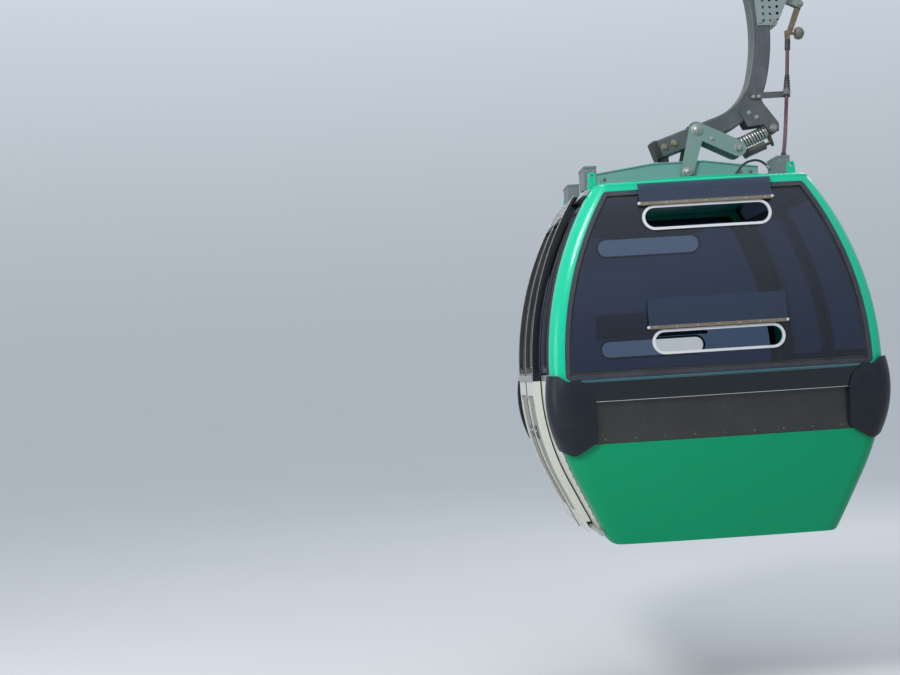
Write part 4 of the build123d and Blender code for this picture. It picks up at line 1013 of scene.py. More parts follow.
NODE_FINISH = {
    # Both greens are one paint: the shell copy is darker as painted shade, and the hoop and roof copy is
    # lighter as painted light.
    "green_shell": ["end_panel_front", "end_panel_rear"],
    "green_hoop": ["end_hoop_front", "end_hoop_rear", "roof_panel"],
    "bumper_slate": ["bumpers_front", "bumpers_rear"],
    "tinted_glass": ["end_window_front", "end_window_rear", "side_windows", "door_glass_rear",
                     "door_glass_front"],
    "flap_glass": ["vent_flaps"],
    "rubber_seal": ["window_gaskets"],
    "black_rubber": ["roof_hose", "hanger_stops", "door_gasket_rear", "door_gasket_front"],
    "trim_white": ["vent_trims"],
    "hinge_bronze": ["vent_hinges"],
    "belt": ["belt_beam_front", "belt_beam_rear"],
    "roof_metal": ["roof_beam"],
    "box_grey": ["roof_boxes"],
    "hanger_paint": ["hanger_arm", "hanger_head", "damper_bracket", "cable_guide"],
    "crank_paint": ["crank_plates"],
    "bracket_paint": ["lever_bracket"],
    "lever_bronze": ["door_lever"],
    "spring_dark": ["suspension_unit", "grip_springs"],
    "zinc": ["crank_pins", "grip_body", "grip_jaw", "grip_lever", "friction_plate",
             "swing_pin"],
    "sheath": ["door_cable"],
    "floor_grey": ["floor_pan"],
    "seat_shell": ["bench_front", "bench_rear"],
    "roller_nylon": ["lever_roller"],
    "rail_alloy": ["door_rails"],
    "wheel_rubber": ["wheel_front", "wheel_rear"],
    "side_panel": ["side_frame_left", "side_frame_right", "door_leaf_rear", "door_leaf_front"],
}


def dress_frame(frame: dict, finishes: Finishes) -> None:
    """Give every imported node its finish.

    Args:
        frame: What the frame's loader returned.
        finishes: The materials.
    """
    for finish, names in NODE_FINISH.items():
        for name in names:
            mesh = frame["nodes"][name].data
            mesh.materials.clear()
            mesh.materials.append(finishes[finish])


# Added pieces


SLOT_OF = {
    "belt": "belt_dark", "spring_wire": "spring_dark", "dirty_bolt": "zinc",
    "recess_olive": "side_panel", "flap_glass": "tinted_glass", "seat_pad": "seat_shell",
    "pull_black": "black_rubber", "belt_bead": "belt_dark", "bracket_paint": "crank_paint",
    "lever_bronze": "zinc",
}


@dataclass
class Assembly:
    """A sub-assembly: holds its sizes, and gives its pieces their name, finish and body."""

    finishes: Finishes

    def add(self, batch: Batch, name: str, finish: str, body: str = "cabin",
            smooth_deg: float = 35.0) -> bpy.types.Object:
        """Turn a batch into a piece that rides on a body."""
        return batch.build(name, self.finishes[finish], body, smooth_deg, SLOT_OF.get(finish, finish))


@dataclass
class EndGlazing(Assembly):
    """Printed border of an end window, and the screws and end blocks of its flaps' hinges."""

    end: End
    face: float = 0.075
    top: float = 0.045
    foot: float = 1.035
    pane_in: float = 0.010
    border: Pair = (0.0252, 0.037)
    border_rise: float = 0.0006
    border_sunk: float = 0.0004
    flaps: Pairs = ((0.116, 0.355), (0.776, 0.365))
    flap_face: float = 0.016
    hinge_height: float = 0.018
    screws: int = 7
    screw_in: float = 0.035
    screw_r: float = 0.0045
    block_out: float = 0.001
    block_sunk: float = 0.014
    block: Pairs = ((0.0, 0.0075), (0.0150, 0.0075), (0.0165, 0.0065), (0.0170, 0.0030))

    def build(self) -> None:
        """Make the border, the screws and the end blocks of the hinges."""
        border = Batch()
        front, back = self.border_rise - self.pane_in, -self.border_sunk - self.pane_in
        loops = [self.outline(margin, front) for margin in self.border]
        loops += [self.outline(margin, back) for margin in reversed(self.border)]
        closed_band(border, np.stack(loops))
        self.add(border, f"window_border_{self.end.label}", "black_rubber")
        screws, blocks = Batch(), Batch()
        for foot, half in self.flaps:
            drop = foot + self.hinge_height / 2
            reach = half - self.screw_in
            for x in np.linspace(-reach, reach, self.screws):
                end_screw(screws, x, drop, self.end, self.flap_face, self.screw_r)
            for x in (-half - self.block_out, half + self.block_out):
                seat = FORM.end_point(x, drop, self.end, self.flap_face - self.block_sunk)
                turned(blocks, self.block, seat, FORM.end_normal(x, drop, self.end), 20)
        self.add(screws, f"hinge_screws_{self.end.label}", "zinc")
        self.add(blocks, f"hinge_ends_{self.end.label}", "trim_white")

    def outline(self, shrink: float, grow: float) -> np.ndarray:
        """Outline on the end surface: down one edge of the window, across, up the other and back.

        Args:
            shrink: Margin between the window's edge and the outline.
            grow: Distance outside the surface.

        Returns:
            Points of the closed outline.
        """
        drops = np.linspace(self.top + shrink, self.foot - shrink, 40)
        edge = FORM.side_x(drops) - self.face - shrink
        level = np.linspace(-1, 1, 24)[1:-1]
        x = np.concatenate([edge, -level * edge[-1], -edge[::-1], level * edge[0]])
        low, high = np.full(len(level), drops[-1]), np.full(len(level), drops[0])
        return FORM.end_point(x, np.concatenate([drops, low, drops[::-1], high]), self.end, grow)


@dataclass
class BeltTrim(Assembly):
    """Glossy bead, bright line and rivets of the belt beam at one end; the bead's teal and the line's pale
    metal are painted highlights along the lip's edges.
    """

    end: End
    lip_proud: float = 0.014
    edge_rise: float = 0.0004
    bead: Pair = (1.0360, 1.0520)
    bead_half: float = 0.735
    bead_rise: float = 0.0030
    line: Pair = (1.1515, 1.1545)
    line_half: float = 0.664
    line_rise: float = 0.0008
    rivets: int = 9
    rivet_drop: float = 1.352
    rivet_half: float = 0.625
    rivet_r: float = 0.004
    band_in: float = -0.006

    def build(self) -> None:
        """Make the bead and the line, both painted highlights, and the row of rivets."""
        label = self.end.label
        # Teal bead: painted highlight along the top edge of the lip.
        bead = self.strip(self.bead, self.bead_half, self.bead_rise)
        self.add(bead, f"belt_bead_{label}", "belt_bead", smooth_deg=60)
        # Pale alloy line: painted highlight along the lower edge of the lip.
        line = self.strip(self.line, self.line_half, self.line_rise)
        self.add(line, f"belt_line_{label}", "rail_alloy")
        rivets = Batch()
        for x in np.linspace(-self.rivet_half, self.rivet_half, self.rivets):
            end_screw(rivets, x, self.rivet_drop, self.end, self.band_in, self.rivet_r)
        self.add(rivets, f"belt_rivets_{label}", "dirty_bolt")

    def strip(self, drops: Pair, half: float, rise: float) -> Batch:
        """Strip along the lip whose face is crowned as a parabola.

        Args:
            drops: Its upper and lower edge.
            half: Its half length.
            rise: Height of the crown.

        Returns:
            The shells.
        """
        batch = Batch()
        x = np.linspace(-half, half, 48)[None]
        drop = np.linspace(*drops, 9)[:, None]
        middle, reach = sum(drops) / 2, (drops[1] - drops[0]) / 2
        crown = rise * (1 - ((drop - middle) / reach) ** 2) + self.edge_rise
        surface = FORM.end_point(x, drop, self.end, self.lip_proud)
        outward = self.end.value * ALONG_ROPE
        slab(batch, surface + crown[..., None] * outward, surface - SUNK * outward)
        return batch


@dataclass
class BumperPlugs(Assembly):
    """Dark plugs over the fixing screws of the corner bumpers."""

    end: End
    drops: Triple = (0.985, 1.205, 1.440)
    proud: Triple = (0.024, 0.044, 0.022)
    middle_x: float = 0.800
    plan_r: float = 1.500
    places: Pairs = ((0.805, 1.090), (0.790, 1.365))
    plug: Pairs = ((-0.004, 0.0085), (0.0006, 0.0085), (0.0016, 0.0070), (0.0008, 0.0040),
                     (0.0008, 0.0015))

    def build(self) -> None:
        """Make the plugs of both bumpers."""
        plugs = Batch()
        for x, drop in self.places:
            seat = (x, self.end.value * self.reach(x, drop), ROOF_Z - drop)
            turned(plugs, self.plug, seat, face_normal(self.reach, x, drop, self.end), 20)
        plugs.mirrored(0)
        self.add(plugs, f"bumper_plugs_{self.end.label}", "bumper_slate")

    def reach(self, x: float, drop: float) -> float:
        """Half length of the bumper's face: an arc through three heights, turned about an upright.

        Args:
            x: Distance from the middle.
            drop: Drop below the roof edge.

        Returns:
            Half length there.
        """
        y = [float(FORM.end_y(d)) - self.sink() + p for d, p in zip(self.drops, self.proud)]
        middle, radius = circle_through(list(zip(self.drops, y)))
        face = middle[1] + math.sqrt(radius ** 2 - (drop - middle[0]) ** 2)
        axis = self.plan_r + self.sink() - FORM.belt_half_length
        return math.sqrt((face + axis) ** 2 - (x - self.middle_x) ** 2) - axis

    def sink(self) -> float:
        """How far the end surface falls back at the bumper's middle."""
        return FORM.end_bulge_r - math.sqrt(FORM.end_bulge_r ** 2 - self.middle_x ** 2)


@dataclass
class DoorDress(Assembly):
    """What a sliding leaf carries: panel insert, darker than the panel paint as painted shade, ledge, pull,
    meeting seal, edge strips that are painted highlights, and screws.
    """

    end: End
    gap: float = 0.002
    width: float = 0.400
    face: float = 0.048
    stile: float = 0.045
    recess: float = 0.008
    recess_drops: Pair = (1.110, 1.770)
    sheet_play: float = 0.0005
    sheet_thick: float = 0.0012
    ledge_drop: float = 1.013
    ledge_in: float = 0.004
    ledge_rise: float = 0.003
    ledge_section: Triple = (0.014, 0.030, 0.005)
    pull_along: float = 0.115
    pull_drop: float = 1.315
    dish_half: Pair = (0.052, 0.036)
    dish_thick: float = 0.0015
    dish_rim: float = 0.004
    bar_half: float = 0.040
    bar_stand: float = 0.016
    bar_r: float = 0.0045
    strip_top: float = 0.030
    seal_along: float = 0.0055
    seal_foot: float = 1.872
    seal_section: Triple = (0.005, 0.010, 0.0018)
    edge_foot: float = 0.985
    edge_along: Pair = (0.0135, 0.396)
    edge_rise: float = 0.0004
    edge_section: Triple = (0.0022, 0.004, 0.0009)
    screw_in: float = 0.024
    screw_drops: tuple[float, ...] = (0.070, 0.35, 0.65, 0.95, 1.16, 1.40, 1.64, 1.83)
    foot_screws: tuple[float, ...] = (0.12, 0.20, 0.28)
    screw_r: float = 0.0045

    @property
    def floor(self) -> float:
        """How far the floor of the recess stands outside the side surface."""
        return self.face - self.recess

    def build(self) -> None:
        """Make every piece of the leaf."""
        label = self.end.label
        body = f"door_{label}"
        # Insert in the darker olive: painted shade of the recess.
        self.add(self.insert(), f"door_insert_{label}", "recess_olive", body)
        self.add(self.ledge(), f"door_ledge_{label}", "rail_alloy", body, 50)
        self.add(self.dish(), f"door_dish_{label}", "pull_black", body)
        self.add(self.pull(), f"door_pull_{label}", "rail_alloy", body)
        self.add(self.seal(), f"door_seal_{label}", "black_rubber", body)
        # Bright edge strips: painted highlights along the edges of the leaf.
        self.add(self.edges(), f"door_edges_{label}", "rail_alloy", body)
        self.add(self.screws(), f"door_screws_{label}", "zinc", body)

    def y(self, along: Numbers) -> Numbers:
        """Y of a distance from the meeting edge."""
        return self.end.value * (self.gap + along)

    def at(self, along: Numbers, drop: Numbers, grow: float) -> np.ndarray:
        """Points of the leaf, from distances along it, drops and a distance outside the side surface."""
        return FORM.side_point(self.y(along), drop, Side.LEFT, grow)

    def insert(self) -> Batch:
        """Sheet on the floor of the recess, darker than the panel paint as painted shade.

        Returns:
            The shells.
        """
        batch = Batch()
        margin = self.stile + self.sheet_play
        along = np.linspace(margin, self.width - margin, 6)[None]
        top, foot = self.recess_drops
        drop = np.linspace(top + self.sheet_play, foot - self.sheet_play, 40)[:, None]
        outer = self.at(along, drop, self.floor + self.sheet_thick)
        slab(batch, outer, self.at(along, drop, self.floor - SUNK))
        return batch

    def ledge(self) -> Batch:
        """Bright moulding along the belt line.

        Returns:
            The shells.
        """
        batch = Batch()
        along = np.linspace(self.ledge_in, self.width - self.ledge_in, 8)
        path = self.at(along, self.ledge_drop, self.face + self.ledge_rise)
        tube(batch, path, rounded_box(*self.ledge_section), UP)
        return batch

    def dish(self) -> Batch:
        """Dark plate behind the pull, whose rim rises with the sixth power of the way to its edge.

        Returns:
            The shells.
        """
        batch = Batch()
        down, across = unit_grid(13, 15)
        along = self.pull_along + self.dish_half[0] * across
        drop = self.pull_drop + self.dish_half[1] * down
        outer = self.at(along, drop, self.floor)
        outer[..., 0] -= self.dish_rim * np.maximum(np.abs(across), np.abs(down)) ** 6 + self.dish_thick
        slab(batch, outer, self.at(along, drop, self.floor - SUNK))
        return batch

    def pull(self) -> Batch:
        """Bar of the pull: stands off the dish and falls back to it with the sixth power at both ends.

        Returns:
            The shells.
        """
        batch = Batch()
        part = np.linspace(-1, 1, 33)
        path = self.at(self.pull_along + self.bar_half * part, self.pull_drop, 0.0)
        path[:, 0] -= self.floor + SUNK + self.bar_stand * (1 - np.abs(part) ** 6)
        tube(batch, path, circle(self.bar_r, 16), UP)
        return batch

    def seal(self) -> Batch:
        """Rubber lip down the meeting edge.

        Returns:
            The shells.
        """
        batch = Batch()
        path = self.at(self.seal_along, np.linspace(self.strip_top, self.seal_foot, 70), self.face)
        tube(batch, path, rounded_box(*self.seal_section))
        return batch

    def edges(self) -> Batch:
        """Thin bright strips down both edges of the upper half, painted highlights along the leaf's edges.

        Returns:
            The shells.
        """
        batch = Batch()
        drop = np.linspace(self.strip_top, self.edge_foot, 40)
        for along in self.edge_along:
            path = self.at(along, drop, self.face + self.edge_rise)
            tube(batch, path, rounded_box(*self.edge_section))
        return batch

    def screws(self) -> Batch:
        """Screws down both stiles and along the foot.

        Returns:
            The shells.
        """
        batch = Batch()
        places = [(along, drop) for along in (self.screw_in, self.width - self.screw_in)
                  for drop in self.screw_drops]
        places += [(along, self.screw_drops[-1]) for along in self.foot_screws]
        for along, drop in places:
            side_screw(batch, self.y(along), drop, Side.LEFT, self.face, self.screw_r)
        return batch


@dataclass
class SideDress(Assembly):
    """Fixed trim of both sides: belt mouldings, pressed ribs, seam seals, vent slots and rivets."""

    belt_drop: float = 1.013
    belt_tall: float = 0.028
    belt_round: float = 0.35
    seam: float = 0.135
    ribs: tuple[float, ...] = (-0.56, -0.28, 0.0, 0.28, 0.56)
    rib_drops: Pair = (1.100, 1.800)
    rib_blunt: float = 0.005
    rib_taper: float = 0.050
    rib_r: float = 0.011
    rib_flat: float = 0.55
    seal_runs: Pairs = ((0.045, 0.995), (1.375, 1.862))
    seal_section: Triple = (0.003, 0.009, 0.0012)
    slot_rows: Triple = (1.42, 1.80, 0.042)
    slot_in: float = 0.030
    slot_half: Pair = (0.011, 0.0045)
    slot_proud: float = 0.0012
    rivet_rows: tuple[tuple[float, float, int], ...] = ((1.845, 0.62, 14), (1.055, 0.74, 16))
    rivet_r: float = 0.004

    def build(self) -> None:
        """Make every piece."""
        self.add(self.mouldings(), "side_mouldings", "rail_alloy", smooth_deg=50)
        self.add(self.pressings(), "side_ribs", "side_panel", smooth_deg=60)
        self.add(self.seams(), "hoop_seals", "black_rubber")
        self.add(self.slots(), "pillar_slots", "black_rubber")
        self.add(self.rivets(), "side_rivets", "zinc")

    def mouldings(self) -> Batch:
        """Moulding along the belt: thin beside the doorway, where the leaves pass, and full on the right.

        Returns:
            The shells.
        """
        batch = Batch()
        # Side, both ends, thickness and distance outside the surface
        runs = ((Side.RIGHT, -0.785, 0.785, 0.010, 0.003), (Side.LEFT, -0.785, -0.385, 0.003, 0.0008),
                (Side.LEFT, 0.385, 0.785, 0.003, 0.0008))
        for side, low, high, thick, grow in runs:
            path = FORM.side_point(np.linspace(low, high, 12), self.belt_drop, side, grow)
            tube(batch, path, rounded_box(thick, self.belt_tall, thick * self.belt_round), UP)
        return batch

    def pressings(self) -> Batch:
        """Half-round ribs down the right side, tapered at both ends as the root of the way in.

        Returns:
            The shells.
        """
        batch = Batch()
        first, last = self.rib_drops
        drop = np.linspace(first, last, 44)
        inside = np.minimum(drop - first, last - drop) + self.rib_blunt
        taper = np.clip(inside / self.rib_taper, 0, 1) ** 0.5
        for y in self.ribs:
            path = FORM.side_point(y, drop, Side.RIGHT)
            tube(batch, path, circle(self.rib_r, 20) * [self.rib_flat, 1.0], scale=taper)
        return batch

    def seams(self) -> Batch:
        """Flat rubber seals where the side walls meet the end hoops.

        Returns:
            The shells.
        """
        batch = Batch()
        for low, high in self.seal_runs:
            drop = np.linspace(low, high, 40)
            for side in Side:
                path = FORM.side_point(self.seam - FORM.end_y(drop), drop, side)
                tube(batch, path, rounded_box(*self.seal_section))
        batch.mirrored(1)
        return batch

    def slots(self) -> Batch:
        """Row of small dark vents beside each end hoop, both sides.

        Returns:
            The shells.
        """
        batch = Batch()
        level, place = unit_grid(5, 5)
        for drop in np.arange(*self.slot_rows):
            y = self.seam + self.slot_in - FORM.end_y(drop) + self.slot_half[0] * place
            drops = drop + self.slot_half[1] * level
            for side in Side:
                outer = FORM.side_point(y, drops, side, self.slot_proud)
                slab(batch, outer, FORM.side_point(y, drops, side, -SUNK))
        batch.mirrored(1)
        return batch

    def rivets(self) -> Batch:
        """Rivets of the right side, along its foot and under the belt moulding.

        Returns:
            The shells.
        """
        batch = Batch()
        for drop, half, count in self.rivet_rows:
            for y in np.linspace(-half, half, count):
                side_screw(batch, y, drop, Side.RIGHT, 0.0, self.rivet_r)
        return batch


@dataclass
class RoofDress(Assembly):
    """Beam flange and feet, box lids and ends, rivets of the roof and the gland of the hose."""

    dome_r: float = 7.400
    dome_rise: float = 0.055
    beam_half: float = 0.511
    beam_end: float = 0.150
    beam_plateau: float = 0.200
    plateau: Pair = (-0.110, 0.190)
    flange_half: float = 0.056
    flange_faces: Pair = (0.005, 0.002)
    foot_x: float = 0.435
    foot_half: Pair = (0.065, 0.105)
    foot_thick: float = 0.008
    foot_bolt: Pair = (0.042, 0.082)
    foot_bolt_size: float = 0.020
    web_near: float = 0.049
    web_far: tuple[float, ...] = (0.098, 0.062, 0.053)
    web_rise: tuple[float, ...] = (0.0, 0.045, 0.075)
    web_sunk: float = 0.002
    web_half: float = 0.003
    beam_face: float = 0.050
    face_bolt: Pair = (0.030, 0.125)
    face_bolt_size: float = 0.016
    box_x: float = 0.546
    box_y: float = 0.350
    box_width: float = 0.070
    box_length: float = 0.200
    box_top: float = 0.145
    lid_over: float = 0.002
    lid_thick: float = 0.003
    lid_skirt: float = 0.009
    lid_screw: Pair = (0.027, 0.090)
    box_screw_x: float = 0.0216
    box_screw_rises: Pair = (0.035, 0.120)
    box_screw_r: float = 0.0045
    rivets_at: Pair = (0.50, 0.770)
    rivet_count: int = 15
    rivet_r: float = 0.005
    gland: Pair = (0.285, -0.300)
    washer: Pairs = ((0.0, 0.024), (0.002, 0.024), (0.003, 0.022))
    nut: Pairs = ((0.002, 0.0175), (0.011, 0.0175), (0.013, 0.0155))
    ferrule_at: Triple = (0.5105, -0.300, 0.104)
    ferrule_way: Triple = (-0.066, 0.0, 0.054)
    ferrule: Pairs = ((-0.001, 0.015), (0.008, 0.015), (0.010, 0.0125), (0.022, 0.0105), (0.024, 0.0085))

    def dome(self, x: Numbers, y: Numbers) -> np.ndarray:
        """Height of the roof: a ball's cap where it stands above the flat rim."""
        cap = self.dome_rise - self.dome_r + np.sqrt(self.dome_r ** 2 - np.square(x) - np.square(y))
        return ROOF_Z + np.maximum(cap, 0.0)

    def build(self) -> None:
        """Make every piece."""
        self.add(self.flange(), "beam_flange", "roof_metal")
        self.add(self.feet(), "beam_feet", "roof_metal")
        self.add(self.foot_bolts(), "beam_bolts", "dirty_bolt")
        self.add(self.lids(), "box_lids", "box_grey")
        self.add(self.lid_screws(), "box_screws", "zinc")
        self.add(self.rivets(), "roof_rivets", "zinc")
        self.add(self.hose_gland(), "hose_gland", "zinc", smooth_deg=25)

    def flange(self) -> Batch:
        """Cap plate that follows the top of the cross beam: level in the middle, falling to both ends.

        Returns:
            The shells.
        """
        batch = Batch()
        low, high = self.plateau
        x = np.array([-self.beam_half, -0.30, low, 0.04, high, 0.35, self.beam_half])
        top = np.interp(x, [-self.beam_half, low, high, self.beam_half],
                        [self.beam_end, self.beam_plateau, self.beam_plateau, self.beam_end])
        y = np.linspace(-self.flange_half, self.flange_half, 5)[None]
        plate(batch, grid_of(x[:, None], y, ROOF_Z + top[:, None]), *self.flange_faces)
        return batch

    def feet(self) -> Batch:
        """Curved foot plates under the ends of the beam, with a web on each face.

        Returns:
            The shells.
        """
        batch = Batch()
        u, v = unit_grid(7, 9)
        for x in (-self.foot_x, self.foot_x):
            across, along = x + self.foot_half[0] * u, self.foot_half[1] * v
            plate(batch, grid_of(across, along, self.dome(across, along)), self.foot_thick, SUNK)
            base = float(self.dome(x, 0.0)) + self.foot_thick - self.web_sunk
            y = np.stack([np.full(len(self.web_far), self.web_near), self.web_far], axis=-1)
            for sign in (-1, 1):
                face = grid_of(x - self.web_half, sign * y, base + np.array(self.web_rise)[:, None])
                slab(batch, face, face + [2 * self.web_half, 0, 0])
        return batch

    def foot_bolts(self) -> Batch:
        """Four bolts on each foot plate, and two on each end of the beam's faces.

        Returns:
            The shells.
        """
        batch = Batch()
        for x in (-self.foot_x, self.foot_x):
            for dx, y in four_places(*self.foot_bolt):
                top = float(self.dome(x + dx, y)) + self.foot_thick
                hex_bolt(batch, (x + dx, y, top), UP, self.foot_bolt_size)
            for dx in (-self.face_bolt[0], self.face_bolt[0]):
                bolt_pair(batch, x + dx, self.beam_face, self.face_bolt[1], self.face_bolt_size)
        return batch

    def lids(self) -> Batch:
        """Lid of each roof box, with its skirt.

        Returns:
            The shells.
        """
        batch = Batch()
        u, v = unit_grid(5, 7)
        wide, long = self.box_width / 2 + self.lid_over, self.box_length / 2 + self.lid_over
        for x, y in four_places(self.box_x, self.box_y):
            lid = grid_of(x + wide * u, y + long * v, ROOF_Z + self.box_top)
            plate(batch, lid, self.lid_thick, self.lid_skirt)
        return batch

    def lid_screws(self) -> Batch:
        """Screws in the corners of the lids and of the outer ends.

        Returns:
            The shells.
        """
        batch = Batch()
        for x, y in four_places(self.box_x, self.box_y):
            for dx, dy in four_places(*self.lid_screw):
                top = ROOF_Z + self.box_top + self.lid_thick
                pan_screw(batch, (x + dx, y + dy, top), UP, self.box_screw_r)
            outward = math.copysign(1, y)
            face = y + outward * self.box_length / 2
            for dx in (-self.box_screw_x, self.box_screw_x):
                for rise in self.box_screw_rises:
                    pan_screw(batch, (x + dx, face, ROOF_Z + rise), (0, outward, 0), self.box_screw_r)
        return batch

    def rivets(self) -> Batch:
        """Rows of rivets across the roof in front of and behind the dome's edge.

        Returns:
            The shells.
        """
        batch = Batch()
        half, row = self.rivets_at
        for x in np.linspace(-half, half, self.rivet_count):
            for y in (-row, row):
                outward = (x / self.dome_r, y / self.dome_r, 1)
                pan_screw(batch, (x, y, float(self.dome(x, y))), outward, self.rivet_r)
        return batch

    def hose_gland(self) -> Batch:
        """Hexagon nut and washer where the hose enters the roof, and its ferrule on the box.

        Returns:
            The shells.
        """
        batch = Batch()
        x, y = self.gland
        seat = (x, y, float(self.dome(x, y)))
        turned(batch, self.washer, seat, UP, 28)
        turned(batch, self.nut, seat, UP, 6)
        x, y, rise = self.ferrule_at
        turned(batch, self.ferrule, (x, y, ROOF_Z + rise), self.ferrule_way, 6)
        return batch


@dataclass
class HangerDress(Assembly):
    """End cap and bolts of the hanger's tube, crank caps, bracket bolts and weld beads."""

    tube: float = 0.110
    foot: Pair = (-0.085, 0.278)
    rise: float = math.radians(18.5)
    cap_over: float = 0.007
    cap_corner: float = 0.014
    cap: Pairs = ((-0.012, 0.86), (-0.010, 0.93), (-0.007, 0.98), (-0.002, 1.0), (0.006, 1.0),
                    (0.014, 1.0), (0.022, 0.985))
    foot_bolt_runs: Pair = (0.055, 0.115)
    foot_bolt_size: float = 0.030
    pivot: Pair = (0.160, 0.384)
    pivot_r: float = 0.021
    crank_foot: Pair = (0.088, 0.140)
    crank_foot_r: float = 0.017
    crank_arm: Pair = (0.398, 0.264)
    crank_web: Pair = (-0.150, 0.062)
    plate_face: float = 0.070
    pin_face: float = 0.084
    spring_pin: Pair = (0.618, 0.373)
    arm_bolt: float = 0.034
    web_bolt: float = 0.018
    pin_bolt: float = 0.030
    bracket_bolt: float = 0.019
    damper_bolts: Pairs = ((0.478, 0.468), (0.505, 0.560), (0.520, 0.440))
    damper_face: float = 0.0672
    lever_bolts: Pairs = ((0.582, 1.006), (0.560, 1.430), (0.606, 1.430),
                                                    (0.660, 1.006))
    lever_face: float = 0.0612
    weld_ring: float = 0.0485
    weld_r: float = 0.003
    weld_out: float = 0.0005
    weld_ripple: float = 0.12
    weld_beats: int = 30

    def build(self) -> None:
        """Make every piece."""
        self.add(self.end_cap(), "hanger_cap", "black_rubber")
        self.add(self.foot_bolts(), "hanger_bolts", "dirty_bolt")
        self.add(self.crank_caps(), "crank_caps", "zinc")
        self.add(self.crank_bolts(), "crank_bolts", "zinc", smooth_deg=25)
        self.add(self.bracket_bolts(), "bracket_bolts", "zinc", smooth_deg=25)
        self.add(self.welds(), "hanger_welds", "hanger_paint")

    def along(self, run: float) -> Pair:
        """X and rise of a point on the tube's centre line, a run from its lower end."""
        return self.foot[0] + run * math.cos(self.rise), self.foot[1] + run * math.sin(self.rise)

    def end_cap(self) -> Batch:
        """Black cap over the lower end of the tube, crowned by a falling scale.

        Returns:
            The shells.
        """
        batch = Batch()
        runs, scale = np.array(self.cap).T
        x, rise = self.along(runs)
        across = self.tube + self.cap_over
        section = rounded_box(across, across, self.cap_corner)
        tube(batch, grid_of(x, 0.0, ROOF_Z + rise), section, scale=scale)
        return batch

    def foot_bolts(self) -> Batch:
        """Two through bolts near the lower end, on both faces.

        Returns:
            The shells.
        """
        batch = Batch()
        for run in self.foot_bolt_runs:
            x, rise = self.along(run)
            bolt_pair(batch, x, self.tube / 2, rise, self.foot_bolt_size)
        return batch

    def crank_caps(self) -> Batch:
        """Domed caps and washers on the pins of the crank: a dome falls with the square of the way out.

        Returns:
            The shells.
        """
        batch = Batch()
        for (x, rise), radius in ((self.pivot, self.pivot_r), (self.crank_foot, self.crank_foot_r)):
            washer = [(-SUNK, radius * 1.6), (0.0025, radius * 1.6), (0.0035, radius * 1.5)]
            dome = [(0.0055 * (1 - r * r), radius * max(r, 0.06)) for r in np.linspace(1, 0, 8)]
            for sign in (-1, 1):
                outward = (0, sign, 0)
                turned(batch, washer, (x, sign * self.plate_face, ROOF_Z + rise), outward, 36)
                turned(batch, [(-SUNK, radius)] + dome, (x, sign * self.pin_face, ROOF_Z + rise), outward)
        return batch

    def crank_bolts(self) -> Batch:
        """Bolts at the arm's end and on the web of the crank, and on the spring's upper pin.

        Returns:
            The shells.
        """
        batch = Batch()
        x, rise = self.crank_arm
        bolt_pair(batch, x, self.plate_face, rise, self.arm_bolt)
        dx, up = self.crank_web
        bolt_pair(batch, x + dx, self.plate_face, rise + up, self.web_bolt)
        x, rise = self.spring_pin
        bolt_pair(batch, x, self.damper_face, rise, self.pin_bolt)
        return batch

    def bracket_bolts(self) -> Batch:
        """Bolts of the damper's bracket and of the door lever's bracket.

        Returns:
            The shells.
        """
        batch = Batch()
        for places, face in ((self.damper_bolts, self.damper_face), (self.lever_bolts, self.lever_face)):
            for x, rise in places:
                bolt_pair(batch, x, face, rise, self.bracket_bolt)
        return batch

    def welds(self) -> Batch:
        """Weld beads round the pivot's boss on both faces: rings whose size ripples round them.

        Returns:
            The shells.
        """
        batch = Batch()
        x, rise = self.pivot
        turn = np.linspace(0, 2 * math.pi, 96, endpoint=False)
        across, up = on_circle(turn, self.weld_ring).T
        ripple = 1 + self.weld_ripple * np.sin(turn * self.weld_beats)
        for sign in (-1, 1):
            path = grid_of(x + across, sign * (self.tube / 2 + self.weld_out), ROOF_Z + rise + up)
            tube(batch, path, circle(self.weld_r, 8), scale=ripple)
        return batch


